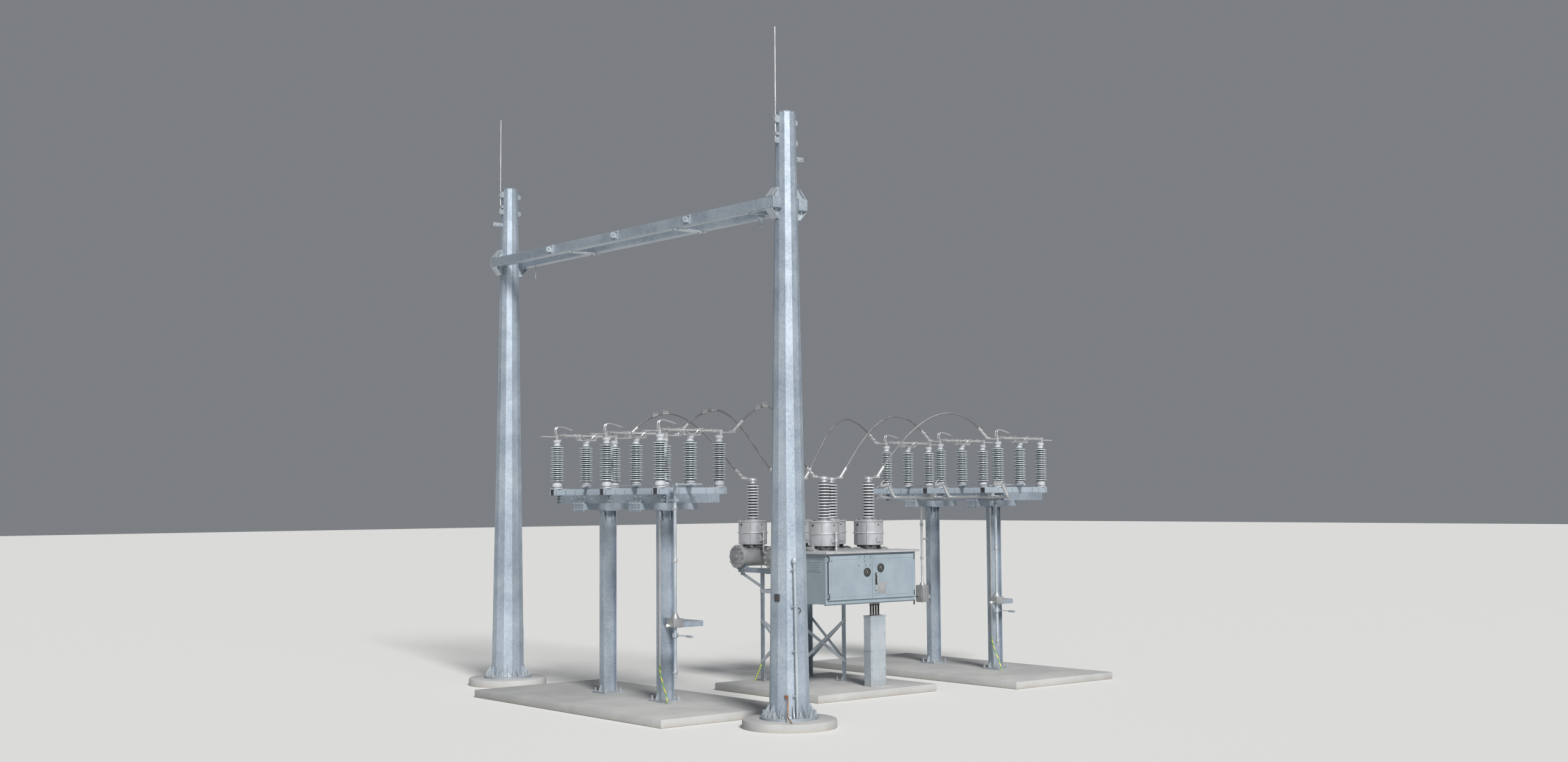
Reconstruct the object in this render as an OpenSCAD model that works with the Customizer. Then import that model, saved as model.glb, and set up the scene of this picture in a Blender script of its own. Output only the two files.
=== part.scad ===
// One bay of an outdoor switching station: a landing gantry, a line disconnector,
// a dead-tank circuit breaker, a bus disconnector and the conductors between them.
// X runs across the three phases, Y from the line to the bus, Z up from the ground.
// The origin is on the ground, on the gantry's line and the bay's centre line.

/* [Bay] */
// Distance between phases on both disconnectors
phase_pitch = 1400; // [1300:50:1500]
// Middle of the breaker, measured from the gantry line
breaker_y = 3450; // [3300:50:3800]
// Middle of the line disconnector, measured from the gantry line
line_y = -50; // [-150:10:100]
// Middle of the bus disconnector, measured from the gantry line
bus_y = 7050; // [6900:50:7600]
// Middle of the gantry, measured across from the bay's centre line
gantry_shift = -150; // [-300:50:300]

/* [Gantry] */
// Distance between the two poles
pole_pitch = 7500; // [7000:100:8400]
// Length of a pole above its base plate
pole_len = 8330; // [7600:100:10000]
// Width of a pole across its flats at the bottom
pole_base_w = 540; // [460:10:600]
// Width of a pole across its flats at the top
pole_top_w = 270; // [220:10:320]
// Height of the middle of the beam members above the ground
beam_z = 7200; // [6400:100:7300]
// Side of a square beam member
beam_w = 150; // [120:10:200]
// How far the beam members run past the middle of each pole
beam_overhang = 100; // [90:10:400]
// Distance between the landing plates along the beam
eye_pitch = 1880; // [1500:20:2400]
// Diameter of the hole in a landing lug
eye_hole_d = 26; // [18:1:34]
// Thickness of a landing lug
eye_t = 16; // [10:1:25]
// Length of a lightning rod above its pole
spike_len = 1200; // [600:100:2400]

/* [Foundations] */
// Diameter of a pole footing
footing_d = 1300; // [1000:50:1500]
// Height of the concrete above the ground
pad_h = 120; // [60:10:200]
// Length of a disconnector pad across the phases
pad_len = 5100; // [4600:100:5600]
// Width of a disconnector pad on the line side of its middle
pad_front = 1400; // [900:50:1500]
// Width of a disconnector pad on the bus side of its middle
pad_back = 1000; // [700:50:1300]

/* [Disconnectors] */
// Distance between the two columns of a disconnector
column_pitch = 1530; // [1300:10:1800]
// Height of the column tops above the ground
column_top = 2960; // [2600:20:3300]
// Distance between the insulators of one phase
post_pitch = 540; // [500:10:620]
// Height of a post insulator with its fittings
post_h = 770; // [700:10:900]
// Outer diameter of the large sheds
shed_d = 236; // [200:2:260]
// Length of a phase channel
channel_len = 1270; // [1250:10:1400]
// Width of the base frame, across its two long beams
frame_w = 970; // [900:10:1100]
// Reach of a crank from the middle of its insulator
crank_r = 250; // [220:5:280]

/* [Breaker] */
// Distance between the breaker's tanks
tank_pitch = 920; // [860:10:1000]
// Diameter of a tank
tank_d = 320; // [280:10:360]
// Height of the tanks' middle above the ground
tank_z = 2150; // [2100:10:2300]
// Distance between the two bushings of a tank
bushing_pitch = 960; // [900:10:1040]
// Length of a bushing's porcelain
bushing_len = 610; // [540:10:700]
// Diameter of a current transformer drum
drum_d = 480; // [440:10:520]
// Height of a current transformer drum
drum_h = 400; // [340:10:440]
// Distance between the stand's legs across the phases
leg_pitch_x = 920; // [800:10:1000]
// Distance between the stand's legs along the bay
leg_pitch_y = 1060; // [960:10:1120]

/* [Control cabinet] */
// Width of the cabinet along the bay
cab_w = 1920; // [1700:20:2000]
// Height of the cabinet without its roof
cab_h = 790; // [700:10:820]
// Depth of the cabinet
cab_d = 500; // [400:10:600]
// Height of the cabinet's bottom above the ground
cab_z = 1470; // [1400:10:1480]
// Thickness of the cabinet's sheet metal
sheet_t = 3; // [2:1:5]

/* [Conductors] */
// Diameter of the aluminium conductors
wire_d = 32; // [24:1:40]

/* [Hidden] */

// Gap left between two pieces that lie against each other
seat_gap = 0.3;
// Room between a moving piece and what it passes
run_gap = 6;
// How far a cut runs past the face it goes through
cut = 1;
phases = [-1, 0, 1];
sides = [-1, 1];

// Poles: the flats face along X and Y
pole_flat_turn = 15;
foot_plate_d = 800;
foot_plate_t = 35;
pole_z0 = pad_h + foot_plate_t;
pole_top = pole_z0 + pole_len;
function pole_half(z) = (pole_base_w + (pole_top_w - pole_base_w) * (z - pole_z0) / pole_len) / 2;
function pole_x(side) = gantry_shift + side * pole_pitch / 2;
beam_low = beam_z - beam_w / 2;
beam_high = beam_z + beam_w / 2;
// Middle of a beam member, which lies against the poles' flats
beam_y = pole_half(beam_low) + seat_gap + beam_w / 2;
beam_len = pole_pitch + 2 * beam_overhang;

// Brackets that clasp the beam members at the poles
seat_t = 12;
seat_w = 160;
rib_t = 12;
rib_h = 130;
rib_off = 30;
rib_tip = 40;
batten_x = 1450;
batten_w = 200;
batten_t = 8;

// Landing plates on the near beam member
eye_plate_w = 90;
eye_plate_h = 140;
eye_plate_t = 12;
eye_lug_r = 45;
eye_reach = 65;

// Lightning rods on the poles' line side
spike_d = 20;
spike_tail = 420;
spike_off = 40;
clip_w = 50;
clip_h = 40;
clip_z = [pole_top - 90, pole_top - 330];

// Disconnector columns, deeper along the bay than across it, and frames
column_d = 240;
column_w = 120;
flange_t = 11;
web_t = 8;
foot_t = 20;
foot_w = 360;
head_t = 16;
head_w = 250;
arm_w = 200;
arm_h = 100;
arm_len = 1080;
arm_plate_w = 290;
arm_plate_h = 150;
arm_plate_t = 10;
beam_d = 125;
flange_w = 65;
steel_t = 7;
channel_w = 120;
channel_h = 100;
frame_z = column_top + arm_h + seat_gap;
channel_z = frame_z + beam_d + seat_gap;
post_z = channel_z + channel_h;
frame_len = 2 * phase_pitch + 160;

// Post insulators: a flanged metal base, a shedded body and a flanged metal cap
base_r = 80;
base_h = 90;
bell_in = 4;
bell_h = 10;
cap_r = 50;
cap_h = 70;
cap_out = 14;
rim_h = 16;
core_r = 62;
shed_count = 17;
small_shed = 14;
shed_span = post_h - base_h - cap_h;
shed_pitch = shed_span / shed_count;

// Contact gear on the post tops, all measured from the post top
top_z = post_z + post_h;
pad_t = 12;
pad_w = 60;
blade_z = top_z + 75;
tongue_t = 12;
tongue_len = 110;
tongue_out = 14;
jaw_t = 8;
jaw_reach = 90;
jaw_back = 40;
jaw_foot = 40;
bar_in = 60;
bar_rise = 50;
bar_reach = 290;
hole_pitch = 50;
hole_d = 14;
tube_d = 36;
tube_off = 34;
tube_in = 80;
blade_half = post_pitch - 20;
cradle = [70, 150, 10];
cheek_t = 8;
cheek_rise = 6;

// Turning posts stand on a low bearing boss
boss_r = 55;
boss_h = 24;
disc_h = 20;
disc_r = 85;
crank_w = 44;
crank_t = 12;
crank_deg = -30;
pin_d = 20;
pin_fit = 0.05;
pin_out = 8;
rod_w = 44;
rod_t = 16;
rod_eye_d = 60;
crank_z = post_z + boss_h + seat_gap;
rod_z = crank_z + crank_t + seat_gap;
crank_dx = crank_r * cos(crank_deg);
crank_dy = crank_r * sin(crank_deg);

// Vertical drive pipes: outside the line frame's end, and inside the bus frame's near beam
line_drive_at = [phase_pitch + 200, -420];
bus_drive_at = [phase_pitch - 300, -300];
drive_d = 48;
drive_low = 560;
drive_box_z = 1270;
drive_hub_d = 76;
drive_hub_h = 32;
drive_hub_rise = 8;
handle_z = drive_box_z - 140;
handle_len = 420;
handle_w = 28;
handle_t = 12;
collar_d = 90;
collar_h = 60;
// Their bearings: one on a beam of the frame, one on an arm from the column's web
bearing_r = 40;
bearing_h = 40;
bearing_rise = 20;
low_bearing_r = 60;
low_bearing_h = 80;

// Earthing shaft under the bus channels' long ends: its bent arms are given as [along, up]
shaft_d = 50;
shaft_off = channel_len / 2 + 95;
shaft_z = frame_z + 60;
shaft_ends = [-phase_pitch - 160, phase_pitch + 440];
shaft_reach = 295;
arm_x = 400;
arm_d = 58;
knee_d = 66;
knee_at = [-150, 240];
tip_at = [-350, 200];
shaft_block_y = 35;
shaft_block_low = 35;
// Its drive: a pipe under the far cross arm with a box held by the column
earth_pipe_d = 42;
earth_pipe_y = -280;
earth_box = [180, 150, 300];
earth_box_z = 1230;
earth_hold_z = [60, 120];
earth_hold_w = 80;

// Breaker
stand_y = breaker_y - 160;
rail_h = 80;
rail_w = 70;
rail_y = leg_pitch_y / 2;
tank_low = tank_z - tank_d / 2;
saddle_h = 20;
saddle_half = 110;
saddle_rise = 12;
// Concrete beyond the stand's legs and beyond the cabinet's front
breaker_pad_half = 1260;
breaker_pad_rim = 300;
cab_pad_rim = 200;
rail_z = tank_low - saddle_h - rail_h;
leg_w = 80;
leg_t = 8;
leg_foot = 180;
leg_foot_t = 16;
leg_foot_out = 40;
ring_z = 1560;
ring_h = 60;
brace_w = 50;
brace_t = 6;
brace_in = 20;
gusset_t = 10;
cross_low = 430;
cross_high = 1120;
rail_reach = tank_pitch + 90;
knee_x = rail_reach - 80;
flange_d = 390;
flange_len = 26;
tank_front = bushing_pitch / 2 + 330;
tank_back = bushing_pitch / 2 + 400;
dome_len = 60;
dome_turn = [12, 30];
dome_cap = 70;
drum_gap = 40;
drum_z = tank_z + tank_d / 2 + drum_gap;
drum_top = drum_z + drum_h;
neck_d = 260;
rim_t = 14;
rim_out = 10;
band_at = 0.48;
bushing_base_h = 40;
foot_flange = [40, 14];
foot_ring = [8, 22];
bushing_cap_in = 14;
bushing_z = drum_top + bushing_base_h;
bushing_core_r = 78;
bushing_shed_r = 122;
bushing_sheds = 15;
bushing_top = bushing_z + bushing_len;
bushing_cap_h = 45;
bar_z = bushing_top + bushing_cap_h;
bar_t = 14;
bar_w = 60;
bar_back = 60;
bar_out = 240;

// Cabinet, on the near side of the breaker
cab_off = 20;
cab_x = tank_pitch + flange_d / 2 + cab_off;
cab_y = breaker_y - 120;
cab_roof_t = 20;
cab_roof_out = 40;
cab_roof_back = 20;
cab_roof_front = 60;
cab_top = cab_z + cab_h;
cab_front = cab_x + cab_d;
door_t = 22;
door_side = 40;
door_rise = 60;
door_drop = 45;
door_gap = 5;
door_parting = 3;
hinge_out = 10;
door_half = cab_w / 2 - door_side;
door_h = cab_h - door_rise - door_drop;
door_z = cab_z + door_rise;
frame_lip = 30;
knuckle_d = 16;
knuckle_h = 30;
knuckle_in = 30;
knuckle_web = 8;
hinge_x = cab_front + door_gap + door_t / 2;
function hinge_y(s) = cab_y + s * (door_half + hinge_out);
hinge_z = [door_z + knuckle_in, door_z + door_h - knuckle_in - 2 * knuckle_h];
duct_w = 330;
duct_d = 150;
duct_y = breaker_y + 170;
duct_top = 1240;
gland_h = 30;
gland_half = [60, 120];
cable_d = 32;
cable_pitch = 55;

// Conductors: how far in they end on a bar, and how their ends rise as [along, up]
clamp_in = 40;
line_lifts = [[1000, 1000], [700, 600]];
bus_lifts = [[1000, 1000], [500, 600]];
wire_steps = 24;

zinc = [0.72, 0.75, 0.78];
porcelain = [0.72, 0.76, 0.74];
aluminium = [0.8, 0.81, 0.82];
concrete = [0.66, 0.65, 0.62];
cabinet_paint = [0.66, 0.74, 0.76];

// Box from its low corner to its high corner
module span(low, high) {
    translate(low) cube(high - low);
}

// Straight round bar between two points
module bar(from, to, d, sides_n = 24) {
    v = to - from;
    len = norm(v);
    translate(from)
        rotate([0, acos(v[2] / len), atan2(v[1], v[0])])
            cylinder(d = d, h = len, $fn = sides_n);
}

// Inverted channel along Y, open below, with its top at height h
module channel_y(len, w, h, t) {
    translate([0, len / 2, 0])
        rotate([90, 0, 0])
            linear_extrude(len)
                polygon([[-w / 2, 0], [-w / 2, h], [w / 2, h], [w / 2, 0], [w / 2 - t, 0],
                    [w / 2 - t, h - t], [-w / 2 + t, h - t], [-w / 2 + t, 0]]);
}

// Channel section standing on edge, its web at y = 0 and its flanges towards +Y
module channel_2d(h, w, t) {
    polygon([[0, 0], [w, 0], [w, t], [t, t], [t, h - t], [w, h - t], [w, h], [0, h]]);
}

// Foundations: two round pole footings, two disconnector pads and the breaker's pad
module foundations() color(concrete) {
    for (s = sides)
        translate([pole_x(s), 0, 0])
            cylinder(d = footing_d, h = pad_h, $fn = 64);
    for (y = [0, bus_y])
        span([-pad_len / 2, y - pad_front, 0], [pad_len / 2, y + pad_back, pad_h]);
    span([-leg_pitch_x / 2 - breaker_pad_rim, stand_y - breaker_pad_half, 0],
        [cab_front + cab_pad_rim, stand_y + breaker_pad_half, pad_h]);
}

// Tapered twelve-sided pole on its base plate
module gantry_pole(side) color(zinc) {
    translate([pole_x(side), 0, pad_h]) {
        cylinder(d = foot_plate_d, h = foot_plate_t, $fn = 48);
        translate([0, 0, foot_plate_t])
            rotate([0, 0, pole_flat_turn])
                cylinder(d1 = pole_base_w / cos(pole_flat_turn), d2 = pole_top_w / cos(pole_flat_turn),
                    h = pole_len, $fn = 12);
    }
}

// Two square beam members, one on each side of the poles
module gantry_beams() color(zinc)
    for (s = sides)
        span([gantry_shift - beam_len / 2, s * beam_y - beam_w / 2, beam_low],
            [gantry_shift + beam_len / 2, s * beam_y + beam_w / 2, beam_high]);

// Outline of a bracket rib: its inner edge follows the pole's taper
module rib_profile(z_seat, up) {
    z_far = z_seat + up * rib_h;
    polygon([[pole_half(min(z_seat, z_far)) + seat_gap, z_seat],
        [pole_half(min(z_seat, z_far)) + seat_gap, z_far],
        [pole_half(beam_low) + rib_tip, z_far],
        [beam_y + beam_w / 2, z_seat]]);
}

// Bracket on the +Y flat of a pole: a seat against the beam and two ribs
module beam_bracket(up) {
    z_seat = beam_z + up * beam_w / 2;
    y_pole = pole_half(beam_low - seat_t - rib_h) + seat_gap;
    span([-seat_w / 2, y_pole, z_seat + min(0, up * seat_t)],
        [seat_w / 2, beam_y + beam_w / 2, z_seat + max(0, up * seat_t)]);
    for (x = [-rib_off, rib_off])
        translate([x - rib_t / 2, 0, 0])
            rotate([90, 0, 90])
                linear_extrude(rib_t)
                    rib_profile(z_seat + up * seat_t, up);
}

// Eight beam brackets and the two battens under the members
module gantry_brackets() color(zinc) {
    for (s = sides, face = [0, 1], up = sides)
        translate([pole_x(s), 0, 0])
            mirror([0, face, 0])
                beam_bracket(up);
    for (s = sides)
        span([gantry_shift + s * batten_x - batten_w / 2, -beam_y - beam_w / 2, beam_low - batten_t],
            [gantry_shift + s * batten_x + batten_w / 2, beam_y + beam_w / 2, beam_low]);
}

// Plate on the near member with a rounded lug that a line's fitting pins into
module landing_plate() {
    face_y = -beam_y - beam_w / 2;
    span([-eye_plate_w / 2, face_y - eye_plate_t, beam_z - eye_plate_h / 2],
        [eye_plate_w / 2, face_y, beam_z + eye_plate_h / 2]);
    difference() {
        union() {
            translate([-eye_t / 2, face_y - eye_reach, beam_z])
                rotate([0, 90, 0])
                    cylinder(r = eye_lug_r, h = eye_t, $fn = 48);
            span([-eye_t / 2, face_y - eye_reach, beam_z - eye_lug_r],
                [eye_t / 2, face_y - eye_plate_t / 2, beam_z + eye_lug_r]);
        }
        translate([-eye_t, face_y - eye_reach, beam_z])
            rotate([0, 90, 0])
                cylinder(d = eye_hole_d, h = 2 * eye_t, $fn = 48);
    }
}

module gantry_landing_plates() color(zinc)
    for (p = phases)
        translate([gantry_shift + p * eye_pitch, 0, 0])
            landing_plate();

// Slim rod clipped to the line-side flat of each pole
module lightning_rods() color(zinc)
    for (s = sides) {
        rod_y = -pole_half(clip_z[1]) - spike_off;
        translate([pole_x(s), rod_y, pole_top - spike_tail])
            cylinder(d = spike_d, h = spike_tail + spike_len, $fn = 24);
        for (z = clip_z)
            span([pole_x(s) - clip_w / 2, rod_y, z],
                [pole_x(s) + clip_w / 2, -pole_half(z) - seat_gap, z + clip_h]);
    }

// I-section column, its flanges square to the bay, with a foot plate and a head plate
module column() {
    span([-foot_w / 2, -foot_w / 2, pad_h], [foot_w / 2, foot_w / 2, pad_h + foot_t]);
    for (s = sides)
        translate([0, s * (column_d - flange_t) / 2, 0])
            span([-column_w / 2, -flange_t / 2, pad_h], [column_w / 2, flange_t / 2, column_top]);
    span([-web_t / 2, -column_d / 2, pad_h], [web_t / 2, column_d / 2, column_top]);
    span([-head_w / 2, -head_w / 2, column_top - head_t], [head_w / 2, head_w / 2, column_top]);
}

module disconnector_columns() color(zinc)
    for (y = [line_y, bus_y], s = sides)
        translate([s * column_pitch / 2, y, 0])
            column();

// Hollow cross arms on the columns, closed by an end plate on the line side
module disconnector_cross_arms() color(zinc)
    for (y = [line_y, bus_y], s = sides)
        translate([s * column_pitch / 2, y, column_top]) {
            span([-arm_w / 2, -arm_len / 2, 0], [arm_w / 2, arm_len / 2, arm_h]);
            span([-arm_plate_w / 2, -arm_len / 2 - arm_plate_t, (arm_h - arm_plate_h) / 2],
                [arm_plate_w / 2, -arm_len / 2, (arm_h + arm_plate_h) / 2]);
        }

// Base frame: two long beams, two end beams and a channel for each phase, whose ends on the
// line side reach further by front
module base_frame(front = 0) color(zinc) {
    half_w = frame_w / 2;
    half_l = frame_len / 2;
    inner = half_l - flange_w - seat_gap;
    for (s = sides) {
        translate([-inner, s * half_w, frame_z])
            mirror([0, s > 0 ? 1 : 0, 0])
                rotate([90, 0, 90])
                    linear_extrude(2 * inner)
                        channel_2d(beam_d, flange_w, steel_t);
        translate([s * half_l, half_w, frame_z])
            mirror([s > 0 ? 1 : 0, 0, 0])
                rotate([90, 0, 0])
                    linear_extrude(frame_w)
                        channel_2d(beam_d, flange_w, steel_t);
    }
    for (p = phases)
        translate([p * phase_pitch, 0, channel_z]) {
            translate([0, -front / 2, 0])
                channel_y(channel_len + front, channel_w, channel_h, steel_t);
            translate([0, 0, channel_h])
                cylinder(r = boss_r, h = boss_h, $fn = 48);
        }
}

// Half outline of an insulator's sheds: two sizes in turn on a core, the first at z = from.
// shed_cut gives a shed's corners on the core and on its rim, as parts of the pitch.
shed_cut = [-0.28, -0.14, -0.02, 0.3];
function shed_points(from, count, pitch, core, big, small) = [
    for (i = [0 : count - 1], k = [0 : 3])
        let (rim = i % 2 == 0 ? big : big - small, z = from + (i + 0.5 + shed_cut[k]) * pitch)
            [k == 1 || k == 2 ? rim : core, z]];

// Post insulator standing on z = 0, its foot lifted by lift
module post_insulator(lift = 0) {
    rotate_extrude($fn = 48)
        polygon(concat(
            [[0, lift], [base_r, lift], [base_r, lift + rim_h], [core_r - bell_in, base_h - bell_h],
                [core_r - bell_in, base_h], [core_r, base_h]],
            shed_points(base_h, shed_count, shed_pitch, core_r, shed_d / 2, small_shed),
            [[core_r, post_h - cap_h], [cap_r, post_h - cap_h], [cap_r, post_h - rim_h],
                [cap_r + cap_out, post_h - rim_h], [cap_r + cap_out, post_h], [0, post_h]]));
}

module fixed_posts() color(porcelain)
    for (p = phases, s = sides)
        translate([p * phase_pitch, s * post_pitch, post_z])
            post_insulator();

// Terminal on a fixed post at y = s * post_pitch: a foot, an upright, a flat bar and a jaw
module fixed_terminal(s, drilled) {
    y_in = s * (post_pitch - bar_in);
    y_end = s * (post_pitch + bar_reach);
    y_jaw = s * (post_pitch - jaw_reach);
    y_post = s * (post_pitch + jaw_back);
    y_foot = y_post - s * jaw_foot;
    mouth = tongue_t / 2 + run_gap;
    span([-pad_w / 2, min(y_in, y_post), top_z], [pad_w / 2, max(y_in, y_post), top_z + pad_t]);
    difference() {
        span([-pad_w / 2, min(y_foot, y_end), top_z + bar_rise],
            [pad_w / 2, max(y_foot, y_end), top_z + bar_rise + pad_t]);
        if (drilled)
            for (k = [0.5, 1.5])
                translate([0, y_end - s * k * hole_pitch, top_z + bar_rise - cut])
                    cylinder(d = hole_d, h = pad_t + 2 * cut, $fn = 24);
    }
    span([-pad_w / 2, min(y_post, y_foot), top_z],
        [pad_w / 2, max(y_post, y_foot), blade_z + mouth + jaw_t]);
    for (z = [blade_z - mouth - jaw_t, blade_z + mouth])
        span([-pad_w / 2, min(y_post, y_jaw), z], [pad_w / 2, max(y_post, y_jaw), z + jaw_t]);
}

// Six terminals: those on the outer side of the bay are drilled for another conductor
module fixed_terminals(outer) color(aluminium)
    for (p = phases, s = sides)
        translate([p * phase_pitch, 0, 0])
            fixed_terminal(s, s == outer);

// Turning post: insulator on a disc with its crank and upright pin
module rotor_post() color(porcelain) {
    translate([0, 0, post_z])
        post_insulator(boss_h + seat_gap + disc_h);
    translate([0, 0, crank_z]) {
        cylinder(r = disc_r, h = disc_h, $fn = 48);
        rotate([0, 0, crank_deg]) {
            span([0, -crank_w / 2, 0], [crank_r, crank_w / 2, crank_t]);
            translate([crank_r, 0, 0]) {
                cylinder(d = crank_w, h = crank_t, $fn = 32);
                cylinder(d = pin_d, h = crank_t + rod_t + pin_out, $fn = 32);
            }
        }
    }
}

// Blade: two tubes on a cradle, with a flat tongue at each end
module rotor_blade() color(aluminium) {
    cheek_y = cradle[1] - cheek_t / 2;
    span([-cradle[0], -cradle[1], top_z], [cradle[0], cradle[1], top_z + cradle[2]]);
    for (s = sides) {
        span([-cradle[0], s * cheek_y - cheek_t / 2, top_z],
            [cradle[0], s * cheek_y + cheek_t / 2, blade_z + tube_d / 2 + cheek_rise]);
        y_tongue = s * (blade_half - tongue_len);
        span([-tube_off - tongue_out, min(y_tongue, s * blade_half), blade_z - tongue_t / 2],
            [tube_off + tongue_out, max(y_tongue, s * blade_half), blade_z + tongue_t / 2]);
    }
    y_tube = blade_half - tube_in;
    for (x = sides)
        bar([x * tube_off, -y_tube, blade_z], [x * tube_off, y_tube, blade_z], tube_d);
}

// Tie rod that keeps the three cranks and the crank of the drive at the place at together
module tie_rod(at) color(zinc)
    translate([crank_dx, crank_dy, rod_z])
        difference() {
            union() {
                span([-phase_pitch, -rod_w / 2, 0], [max(phase_pitch, at[0]), rod_w / 2, rod_t]);
                span([at[0] - rod_w / 2, at[1], 0], [at[0] + rod_w / 2, rod_w / 2, rod_t]);
                for (p = phases)
                    translate([p * phase_pitch, 0, 0])
                        cylinder(d = rod_eye_d, h = rod_t, $fn = 32);
                translate([at[0], at[1], 0])
                    cylinder(d = rod_eye_d, h = rod_t, $fn = 32);
            }
            for (p = phases)
                translate([p * phase_pitch, 0, -cut])
                    cylinder(d = pin_d + 2 * pin_fit, h = rod_t + 2 * cut, $fn = 32);
            translate([at[0], at[1], -cut])
                cylinder(d = pin_d + 2 * pin_fit, h = rod_t + 2 * cut, $fn = 32);
        }

// Drive pipe with its top crank and the operating handle
module drive_pipe(at) color(zinc)
    translate([at[0], at[1], 0]) {
        translate([0, 0, drive_low])
            cylinder(d = drive_d, h = crank_z - drive_low, $fn = 32);
        translate([0, 0, crank_z]) {
            translate([0, 0, drive_hub_rise - drive_hub_h])
                cylinder(d = drive_hub_d, h = drive_hub_h, $fn = 32);
            rotate([0, 0, crank_deg]) {
                span([0, -crank_w / 2, 0], [crank_r, crank_w / 2, crank_t]);
                translate([crank_r, 0, 0]) {
                    cylinder(d = crank_w, h = crank_t, $fn = 32);
                    cylinder(d = pin_d, h = crank_t + rod_t + pin_out, $fn = 32);
                }
            }
        }
        translate([0, 0, handle_z]) {
            cylinder(d = collar_d, h = collar_h, $fn = 32);
            span([(drive_d + collar_d) / 4, -handle_w / 2, (collar_h - handle_t) / 2],
                [handle_len, handle_w / 2, (collar_h + handle_t) / 2]);
        }
    }

// Bearings of the drive at the place at: a bracket from the corner held on the frame, and
// an arm from the column's web that turns off to the pipe
module drive_bracket(at, held) {
    bore = drive_d + 2 * seat_gap;
    z = frame_z + bearing_rise;
    difference() {
        span([min(held[0], at[0] - bearing_r), min(held[1], at[1] - bearing_r), z],
            [at[0] + bearing_r, at[1] + bearing_r, z + bearing_h]);
        translate([at[0], at[1], z - cut])
            cylinder(d = bore, h = bearing_h + 2 * cut, $fn = 32);
    }
    difference() {
        union() {
            span([column_pitch / 2 + web_t / 2 + seat_gap, -bearing_r, drive_box_z],
                [at[0] + low_bearing_r, bearing_r, drive_box_z + low_bearing_h]);
            span([at[0] - low_bearing_r, at[1] - low_bearing_r, drive_box_z],
                [at[0] + low_bearing_r, bearing_r, drive_box_z + low_bearing_h]);
        }
        translate([at[0], at[1], drive_box_z - cut])
            cylinder(d = bore, h = low_bearing_h + 2 * cut, $fn = 32);
    }
}

// The line drive is held by the frame's end beam, the bus drive by the web of its long beam
module drive_brackets() color(zinc) {
    translate([0, line_y, 0])
        drive_bracket(line_drive_at, [frame_len / 2 + seat_gap, line_drive_at[1]]);
    translate([0, bus_y, 0])
        drive_bracket(bus_drive_at, [bus_drive_at[0], -frame_w / 2 + steel_t + seat_gap]);
}

// Shaft with three bent arms in bearing blocks under the bus channels, and its drive
module bus_earth_switch() color(zinc) {
    translate([0, bus_y - shaft_off, shaft_z]) {
        bar([shaft_ends[0], 0, 0], [shaft_ends[1], 0, 0], shaft_d);
        for (p = phases) {
            translate([p * phase_pitch + arm_x, 0, 0]) {
                bar([0, 0, 0], [0, knee_at[0], knee_at[1]], arm_d);
                bar([0, knee_at[0], knee_at[1]], [0, tip_at[0], tip_at[1]], arm_d);
                translate([0, knee_at[0], knee_at[1]])
                    sphere(d = knee_d, $fn = 24);
            }
            span([p * phase_pitch - channel_w / 2, -shaft_block_y, -shaft_block_low],
                [p * phase_pitch + channel_w / 2, shaft_block_y, channel_z - seat_gap - shaft_z]);
        }
    }
    translate([-column_pitch / 2, bus_y + earth_pipe_y, 0]) {
        translate([0, 0, earth_box_z + earth_box[2] / 2])
            cylinder(d = earth_pipe_d, h = column_top - seat_gap - earth_box_z - earth_box[2] / 2, $fn = 32);
        span([-earth_box[0] / 2, -earth_box[1] / 2, earth_box_z],
            [earth_box[0] / 2, earth_box[1] / 2, earth_box_z + earth_box[2]]);
        span([-earth_hold_w / 2, 0, earth_box_z + earth_hold_z[0]],
            [earth_hold_w / 2, -earth_pipe_y - column_d / 2 - seat_gap, earth_box_z + earth_hold_z[1]]);
    }
}

// Breaker stand: four legs on foot plates
module breaker_legs() color(zinc)
    for (sx = sides, sy = sides)
        translate([sx * leg_pitch_x / 2, stand_y + sy * leg_pitch_y / 2, 0])
            mirror([sx > 0 ? 1 : 0, 0, 0])
                mirror([0, sy > 0 ? 1 : 0, 0]) {
                    span([-leg_foot_out, -leg_foot_out, pad_h],
                        [leg_foot - leg_foot_out, leg_foot - leg_foot_out, pad_h + leg_foot_t]);
                    span([0, 0, pad_h], [leg_t, leg_w, rail_z]);
                    span([0, 0, pad_h], [leg_w, leg_t, rail_z]);
                }

// Rails across the phases that carry the tanks, and the ring between the legs
module breaker_rails() color(zinc) {
    for (s = sides) {
        y = stand_y + s * rail_y;
        span([-rail_reach, y - rail_w / 2, rail_z + seat_gap],
            [cab_x - seat_gap, y + rail_w / 2, rail_z + rail_h]);
        for (p = phases)
            span([p * tank_pitch - saddle_half, y - rail_w / 2, rail_z + rail_h],
                [p * tank_pitch + saddle_half, y + rail_w / 2, tank_low + saddle_rise]);
    }
}

// Flat bar between two points of an upright plane, given as [along, up] pairs
module flat_brace(from, to) {
    v = to - from;
    translate([from[0], 0, from[1]])
        rotate([0, -atan2(v[1], v[0]), 0])
            span([0, -brace_t / 2, -brace_w / 2], [norm(v), brace_t / 2, brace_w / 2]);
}

// Knee brace from a leg to the gusset under a rail's outer end, on the side e
module knee_brace(e, hx) {
    flat_brace([e * (hx - brace_in), ring_z + ring_h + brace_w], [e * knee_x, rail_z - brace_w / 2]);
    span([e * knee_x - brace_w, -gusset_t / 2, rail_z - brace_w],
        [e * knee_x + brace_w, gusset_t / 2, rail_z]);
}

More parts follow.
